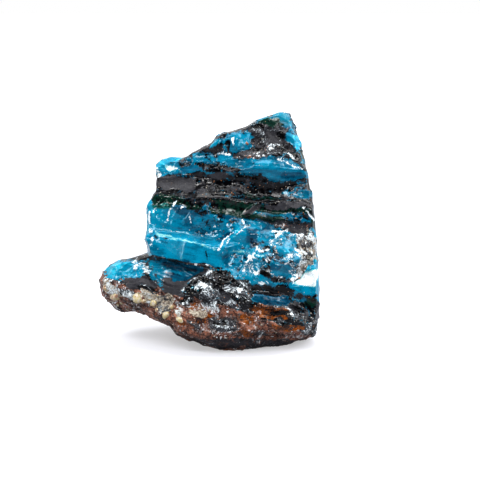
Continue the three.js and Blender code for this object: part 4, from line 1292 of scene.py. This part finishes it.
def stone_normal(s, f, n, dark_sheen):
    """Hollows in broken stone, fine grain where it is dull, and facets that lean each its own way."""
    hollow = s.noise(n.layered * (0.7, 0.7, 1), 1.3, 1.5, 0.5)
    normal = s.bump(hollow, HOLLOW_DEPTH, (f.broken * 0.7).clamp())
    normal = s.bump(n.fine, FINE_DEPTH, dark_sheen * 0.5 + 0.25, normal)
    tilt = s.cells(n.layered * (0.5, 0.6, 1.3), 1.9, "Color") - 0.5
    tilt = tilt + (s.cells(n.place, 1.1, "Color") - 0.5) * 0.5
    return s.leaned(normal, tilt * (f.broken * f.broken * 0.85 + 0.01))


def stone_material(colours):
    """The banded stone. Its fields and noises pick between opal and matrix and lay painted glints over
    both, and it is glossy where it is whole."""
    s = Shader("banded_opal")
    f = SimpleNamespace(**{name: s.attribute(name) for name in (*FIELDS, "bed", "edge", "ridge")})
    place = s.object_place()
    x, y, _ = s.parts(place)
    layered = s.vector(x, y, f.bed)
    n = SimpleNamespace(place=place, layered=layered)
    n.fray = s.noise(place, 1.1, 6, 0.75) - 0.5
    n.cloud = s.noise(place, 3.2, 3, 0.55) - 0.5
    n.fine = s.noise(place, 0.35, 2, 0.6) - 0.5
    n.streaks = s.noise(layered * (0.22, 0.3, 1), 0.7, 4, 0.6) - 0.5
    n.chunks = s.noise(layered * (0.7, 0.7, 1), 1.7, 4, 0.7) - 0.5
    bent = layered * (0.8, 0.8, 1.2) + (s.noise(place, 1.8, 2, 0.5, "Color") - 0.5) * 2.2
    flake, n.lean, _ = s.parts(s.cells(bent, 2.0, "Color"))
    n.flake = flake - 0.5

    colour, is_blue, dull_sheen = opal_colour(s, f, n, colours)
    brown, is_matrix = matrix_colour(s, f, n, colours)
    colour = glinted_colour(s, f, n, colours, s.mix(is_matrix, colour, brown), is_matrix)
    dark_sheen = dull_sheen * (1 - is_blue)
    gloss = n.fray * 0.06 + colours.gloss + (1 - f.broken) * 0.05 + is_matrix * 0.1 + dark_sheen * colours.satin_sheen
    return s.finish(Base_Color=colour, Roughness=gloss, Normal=stone_normal(s, f, n, dark_sheen), IOR=OPAL_IOR)


def grain_material(colours):
    """Waxy yellowish quartz, a little different from grain to grain, with brown stains."""
    s = Shader("quartz_grain")
    place = s.object_place()
    shade = s.attribute("shade")
    cloud = s.noise(place, 0.8, 3, 0.6) - 0.5
    colour = s.mix((shade + cloud).step(0.1, 0.9), colours.tan, colours.quartz)
    colour = s.mix((shade + cloud * 2.2).step(0.75, 1.15), colour, colours.pale_quartz)
    stain = s.noise(place, 1.4, 4, 0.7).step(0.52, 0.62) * 0.8
    colour = s.mix(stain, colour, colours.matrix)
    normal = s.bump(s.noise(place, 0.3, 3, 0.6), GRAIN_DEPTH, 0.6)
    return s.finish(Base_Color=colour, Roughness=cloud * 0.2 + 0.2, Normal=normal, IOR=QUARTZ_IOR)


# ---------------------------------------------------------------- what a user can change


def colour_prop(name, description, default):
    """A linear colour with its own swatch."""
    return FloatVectorProperty(name=name, description=description, subtype="COLOR", size=3, min=0, max=1,
                               default=default)


def length_prop(name, description, default):
    """A length in metres."""
    return FloatProperty(name=name, description=description, default=default, subtype="DISTANCE",
                         unit="LENGTH")


def angle_prop(name, description, default):
    """An angle, its default in degrees."""
    return FloatProperty(name=name, description=description, default=math.radians(default), subtype="ANGLE",
                         unit="ROTATION")


def amount_prop(name, description, default, **limits):
    """A number that is never below 0."""
    return FloatProperty(name=name, description=description, default=default, **{"min": 0, **limits})


def count_prop(name, description, default, low, high):
    """A whole number."""
    return IntProperty(name=name, description=description, default=default, min=low, max=high)


class OPAL_PG_stone(bpy.types.PropertyGroup):
    """The sizes of the stone and its grains"""

    across: count_prop("Across", "Cells across each face of the skin's grid", 176, 20, 200)
    deep: count_prop("Deep", "Cells from the front face to the back", 36, 6, 60)
    lean: angle_prop("Lean", "How far the face leans back", 12)
    foot_depth: length_prop("Foot depth", "From the face's origin down to the ground", 22 * MM)
    edge_softness: length_prop("Edge softness", "Round where two fractures meet", 0.25 * MM)
    bed_edge: length_prop("Bed edge", "Width over which a break stops at a bed", 1.2 * MM)
    relief: amount_prop("Relief", "Strength of the small relief", 1.0, max=2)
    grain_count: count_prop("Grains", "How many quartz grains sit on the stone", 180, 0, 2000)
    grain_size: length_prop("Grain size", "Mean radius of a quartz grain", 0.26 * MM)


class OPAL_PG_colours(bpy.types.PropertyGroup):
    """The colours and the gloss"""

    black: colour_prop("Black", "Black glass", (0.0015, 0.0015, 0.0025))
    navy: colour_prop("Navy", "The darkest blue", (0.0006, 0.014, 0.035))
    deep_blue: colour_prop("Deep blue", "Dark blue opal", (0.0005, 0.078, 0.138))
    blue: colour_prop("Blue", "The main blue", (0.0005, 0.19, 0.295))
    sky: colour_prop("Sky", "The lightest blue", (0.012, 0.47, 0.6))
    dark_green: colour_prop("Dark green", "Green glass", (0.003, 0.024, 0.017))
    teal: colour_prop("Teal", "Lighter green", (0.003, 0.12, 0.115))
    # Pale veins; the painted white highlight facets pass through it on the way to white.
    milk: colour_prop("Milk", "Pale veins and scuffs", (0.22, 0.44, 0.42))
    # Painted highlights: the white of the glints and of the lit facets.
    glint_white: colour_prop("White", "Scuffed facets and flecks", (0.62, 0.67, 0.69))
    # Painted glints: the grey around them.
    glint_grey: colour_prop("Pale grey", "Around the flecks", (0.2, 0.23, 0.25))
    # Painted sheen: dull black lifted to grey, which stands in for a reflection.
    sheen_grey: colour_prop("Grey", "Dull black", (0.042, 0.042, 0.05))
    matrix: colour_prop("Matrix", "Brown rock", (0.27, 0.122, 0.08))
    dark_matrix: colour_prop("Dark matrix", "Dark brown rock", (0.024, 0.014, 0.014))
    rust: colour_prop("Rust", "Orange iron stain", (0.27, 0.078, 0.006))
    amber: colour_prop("Amber", "Orange specks", (0.36, 0.13, 0.03))
    tan: colour_prop("Tan", "Darker quartz", (0.19, 0.155, 0.12))
    quartz: colour_prop("Quartz", "Yellowish quartz", (0.44, 0.4, 0.33))
    pale_quartz: colour_prop("Pale quartz", "The palest grains", (0.4, 0.34, 0.19))
    gloss: amount_prop("Roughness", "Roughness of the polished breaks", 0.05, max=1)
    satin_sheen: amount_prop("Satin", "How much rougher the dull breaks are", 0.3, max=1)


class OPAL_PG_stage(bpy.types.PropertyGroup):
    """The floor, the light and the camera"""

    floor: colour_prop("Floor", "The floor's colour", (0.34, 0.345, 0.375))
    sky_light: amount_prop("Sky light", "Brightness overhead and behind", 1.1)
    front_light: amount_prop("Front light", "Brightness of the dark front", 0.02)
    sky_dimming: amount_prop("Sky dimming", "How much darker the sky is in reflections", 0.85, max=1)
    glow: amount_prop("Floor glow", "Light of the floor itself", 0.5)
    bounce: amount_prop("Floor bounce", "Light of the floor onto the stone", 0.25)
    key_light: amount_prop("Key light", "Brightness of the lamps", 1.0)
    target: FloatVectorProperty(name="Target", description="Where the camera looks", size=3, unit="LENGTH",
                                subtype="XYZ", default=(0.0075, 0, 0.025))
    distance: length_prop("Distance", "From the camera to its target", 0.274)
    elevation: angle_prop("Elevation", "How high the camera stands", 12)
    gamma: amount_prop("Gamma", "Contrast of the picture: less is harder", 0.8, min=0.2, max=2)
    lens: amount_prop("Lens", "Focal length in millimetres", 85, min=10)


# ---------------------------------------------------------------- the pieces


class OPAL_OT_stone(bpy.types.Operator):
    """Make the stone's skin in place of the plain stone"""

    bl_idname = "opal.stone"
    bl_label = "Stone"

    def execute(self, context):
        settings, colours = context.scene.opal_stone, context.scene.opal_colours
        base, skin, quads, fields, edge, relief = stone_skin(settings)
        attributes = {name: fields[:, i] for i, name in enumerate(FIELDS)}
        attributes["bed"] = bed_at(base[:, 0], base[:, 1])
        # Painted light: the thin sides of the front are painted lighter.
        attributes["edge"] = edge
        # Painted light and shade: the relief lightens the tone on ridges and darkens it in hollows.
        attributes["ridge"] = np.clip(relief, -1, 1)
        stone = make_mesh("opal_skin", placed(skin, base, settings), quads, attributes)
        stone.data.materials.append(stone_material(colours))
        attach(stone, "root")
        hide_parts(STONE_NODE)
        return {"FINISHED"}


class OPAL_OT_grains(bpy.types.Operator):
    """Make the quartz that sits on the stone: the larger lumps and the grains scattered where it is rich in
    quartz"""

    bl_idname = "opal.grains"
    bl_label = "Quartz Grains"

    def execute(self, context):
        settings, colours = context.scene.opal_stone, context.scene.opal_colours
        base, skin, quads, fields, _, _ = stone_skin(settings)
        rng = np.random.default_rng(GRAIN_SEED)
        likely = fields[:, FIELDS.index("quartz")] * fields[:, FIELDS.index("matrix")] + GRAIN_STRAY
        strewn = rng.choice(len(skin), size=settings.grain_count, replace=False, p=likely / likely.sum())
        sizes = np.minimum(rng.lognormal(0, GRAIN_SPREAD, size=len(strewn)), GRAIN_LARGEST)
        sizes = np.concatenate([LUMPS[:, 2], settings.grain_size / MM * sizes])
        face = np.flatnonzero(base[:, 2] > 0)
        away = np.hypot(*(skin[face, None, :2] - LUMPS[None, :, :2]).transpose(2, 0, 1))
        chosen = np.concatenate([face[np.argmin(away, axis=0)], strewn])
        centres = skin[chosen] - normals_of(skin, quads)[chosen] * sizes[:, None] * LUMP_SUNK
        points, lump_quads = lumps(centres, sizes, rng)
        shade = np.concatenate([np.ones(len(LUMPS)), rng.uniform(0, 1, size=len(strewn))])
        shade = np.repeat(shade, len(points) // len(chosen))
        grains = make_mesh("quartz_grains", placed(points, base, settings), lump_quads, {"shade": shade})
        grains.data.materials.append(grain_material(colours))
        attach(grains, "root")
        return {"FINISHED"}


# The lamps: place and size in metres, and how bright the face is.
LAMPS = {
    "overhead": ((0.04, 0.06, 0.4), (0.28, 0.22), 6),
    "front_left": ((-0.2, -0.26, 0.36), (0.12, 0.14), 24),
    "front_right": ((0.2, -0.3, 0.26), (0.09, 0.12), 25),
    "front_strip": ((0.0, -0.3, 0.42), (0.3, 0.02), 30),
    "right": ((0.34, 0.06, 0.24), (0.2, 0.24), 9),
    "left": ((-0.38, 0, 0.14), (0.12, 0.2), 8),
}
LAMP_AIM = (0, 0, 0.027)
SKY_OVERHEAD, SKY_BEHIND = (0.5, 0.78), (0.0, 0.8)  # how far up and back the sky begins, and is full
FLOOR_REACH = 6.0  # from the stone to the floor's edges, in metres
FLOOR_FADE = (150, 600)  # how far from the stone the floor begins to turn white, and is white, in mm
SENSOR_WIDTH = 36  # in mm
CLIP_START, CLIP_END = 0.01, 20  # in metres


def soft_box(name, place, size, radiance):
    """A rectangular lamp aimed at the stone whose face has the given brightness."""
    lamp = bpy.data.lights.new(name, "AREA")
    lamp.shape = "RECTANGLE"
    lamp.size, lamp.size_y = size
    lamp.energy = radiance * math.pi * size[0] * size[1]
    made = bpy.data.objects.new(name, lamp)
    bpy.context.scene.collection.objects.link(made)
    made.location = place
    made.rotation_euler = (Vector(LAMP_AIM) - Vector(place)).to_track_quat("-Z", "Y").to_euler()


def studio(settings):
    """The surroundings: dark in front, bright overhead and behind, and white where the camera sees them."""
    s = Shader("studio", "worlds")
    _, back, up = s.parts(s.coordinates("Generated"))
    mirrored, seen = s.rays("Glossy", "Camera")
    light = up.step(*SKY_OVERHEAD) * (1 - mirrored * settings.sky_dimming) + back.step(*SKY_BEHIND)
    light = light * settings.sky_light + settings.front_light
    light = light + seen * (1 - light)
    lit = s.node("ShaderNodeBackground", None, {"Color": (1, 1, 1), "Strength": light})
    output = s.node("ShaderNodeOutputWorld")
    s.tree.links.new(lit.outputs[0], output.inputs["Surface"])
    return s.holder


def floor_material(settings):
    """Pale grey. It glows for the camera, white far off, and lends the stone a little light from below."""
    s = Shader("pale_floor")
    seen, lighting = s.rays("Camera", "Diffuse")
    away = s.node("ShaderNodeVectorMath", {"operation": "LENGTH"}, {0: s.object_place()})
    far = Sum(s, away.outputs["Value"]).step(*FLOOR_FADE)
    glow = s.mix(far, (settings.glow,) * 3, (1, 1, 1))
    bounce = s.mix(lighting, (0, 0, 0), (settings.bounce,) * 3)
    return s.finish(Base_Color=tuple(settings.floor), Roughness=0.8, IOR=1.2,
                    Emission_Color=s.mix(seen, bounce, glow), Emission_Strength=1.0)


def make_camera(settings):
    """The camera, in front of its target and above it."""
    made = bpy.data.objects.new("camera", bpy.data.cameras.new("camera"))
    made.data.lens, made.data.sensor_width = settings.lens, SENSOR_WIDTH
    made.data.clip_start, made.data.clip_end = CLIP_START, CLIP_END
    back = Vector((0, -math.cos(settings.elevation), math.sin(settings.elevation)))
    made.location = Vector(settings.target) + back * settings.distance
    made.rotation_euler = back.to_track_quat("Z", "Y").to_euler()
    bpy.context.scene.collection.objects.link(made)
    return made


class OPAL_OT_stage(bpy.types.Operator):
    """Make the floor, the surroundings, the lamps and the camera"""

    bl_idname = "opal.stage"
    bl_label = "Stage"

    def execute(self, context):
        settings, scene = context.scene.opal_stage, context.scene
        corners = np.array([[-1, -1, 0], [1, -1, 0], [1, 1, 0], [-1, 1, 0]]) * FLOOR_REACH / MM
        floor = make_mesh("floor", corners, np.array([[0, 1, 2, 3]]), {}, smooth=False)
        floor.data.materials.append(floor_material(settings))
        for name, (place, size, radiance) in LAMPS.items():
            soft_box(name, place, size, radiance * settings.key_light)
        scene.world = studio(settings)
        scene.camera = make_camera(settings)
        scene.view_settings.view_transform = "Standard"
        scene.view_settings.gamma = settings.gamma
        return {"FINISHED"}


class OPAL_PT_panel(bpy.types.Panel):
    """The settings and the operators"""

    bl_idname = "OPAL_PT_panel"
    bl_label = "Rough Opal"
    bl_space_type = "VIEW_3D"
    bl_region_type = "UI"
    bl_category = "Opal"

    def draw(self, context):
        for group in (context.scene.opal_stone, context.scene.opal_colours, context.scene.opal_stage):
            box = self.layout.box()
            for key in group.__annotations__:
                box.prop(group, key)
        for operator in (OPAL_OT_stone, OPAL_OT_grains, OPAL_OT_stage):
            self.layout.operator(operator.bl_idname)


CLASSES = (OPAL_PG_stone, OPAL_PG_colours, OPAL_PG_stage, OPAL_OT_stone, OPAL_OT_grains, OPAL_OT_stage,
           OPAL_PT_panel)


def register():
    for cls in CLASSES:
        bpy.utils.register_class(cls)
    bpy.types.Scene.opal_stone = PointerProperty(type=OPAL_PG_stone)
    bpy.types.Scene.opal_colours = PointerProperty(type=OPAL_PG_colours)
    bpy.types.Scene.opal_stage = PointerProperty(type=OPAL_PG_stage)


def unregister():
    del bpy.types.Scene.opal_stone, bpy.types.Scene.opal_colours, bpy.types.Scene.opal_stage
    for cls in reversed(CLASSES):
        bpy.utils.unregister_class(cls)


def main():
    """Make the pieces and the stage."""
    register()
    bpy.ops.opal.stone()
    bpy.ops.opal.grains()
    bpy.ops.opal.stage()


if __name__ == "__main__":
    main()
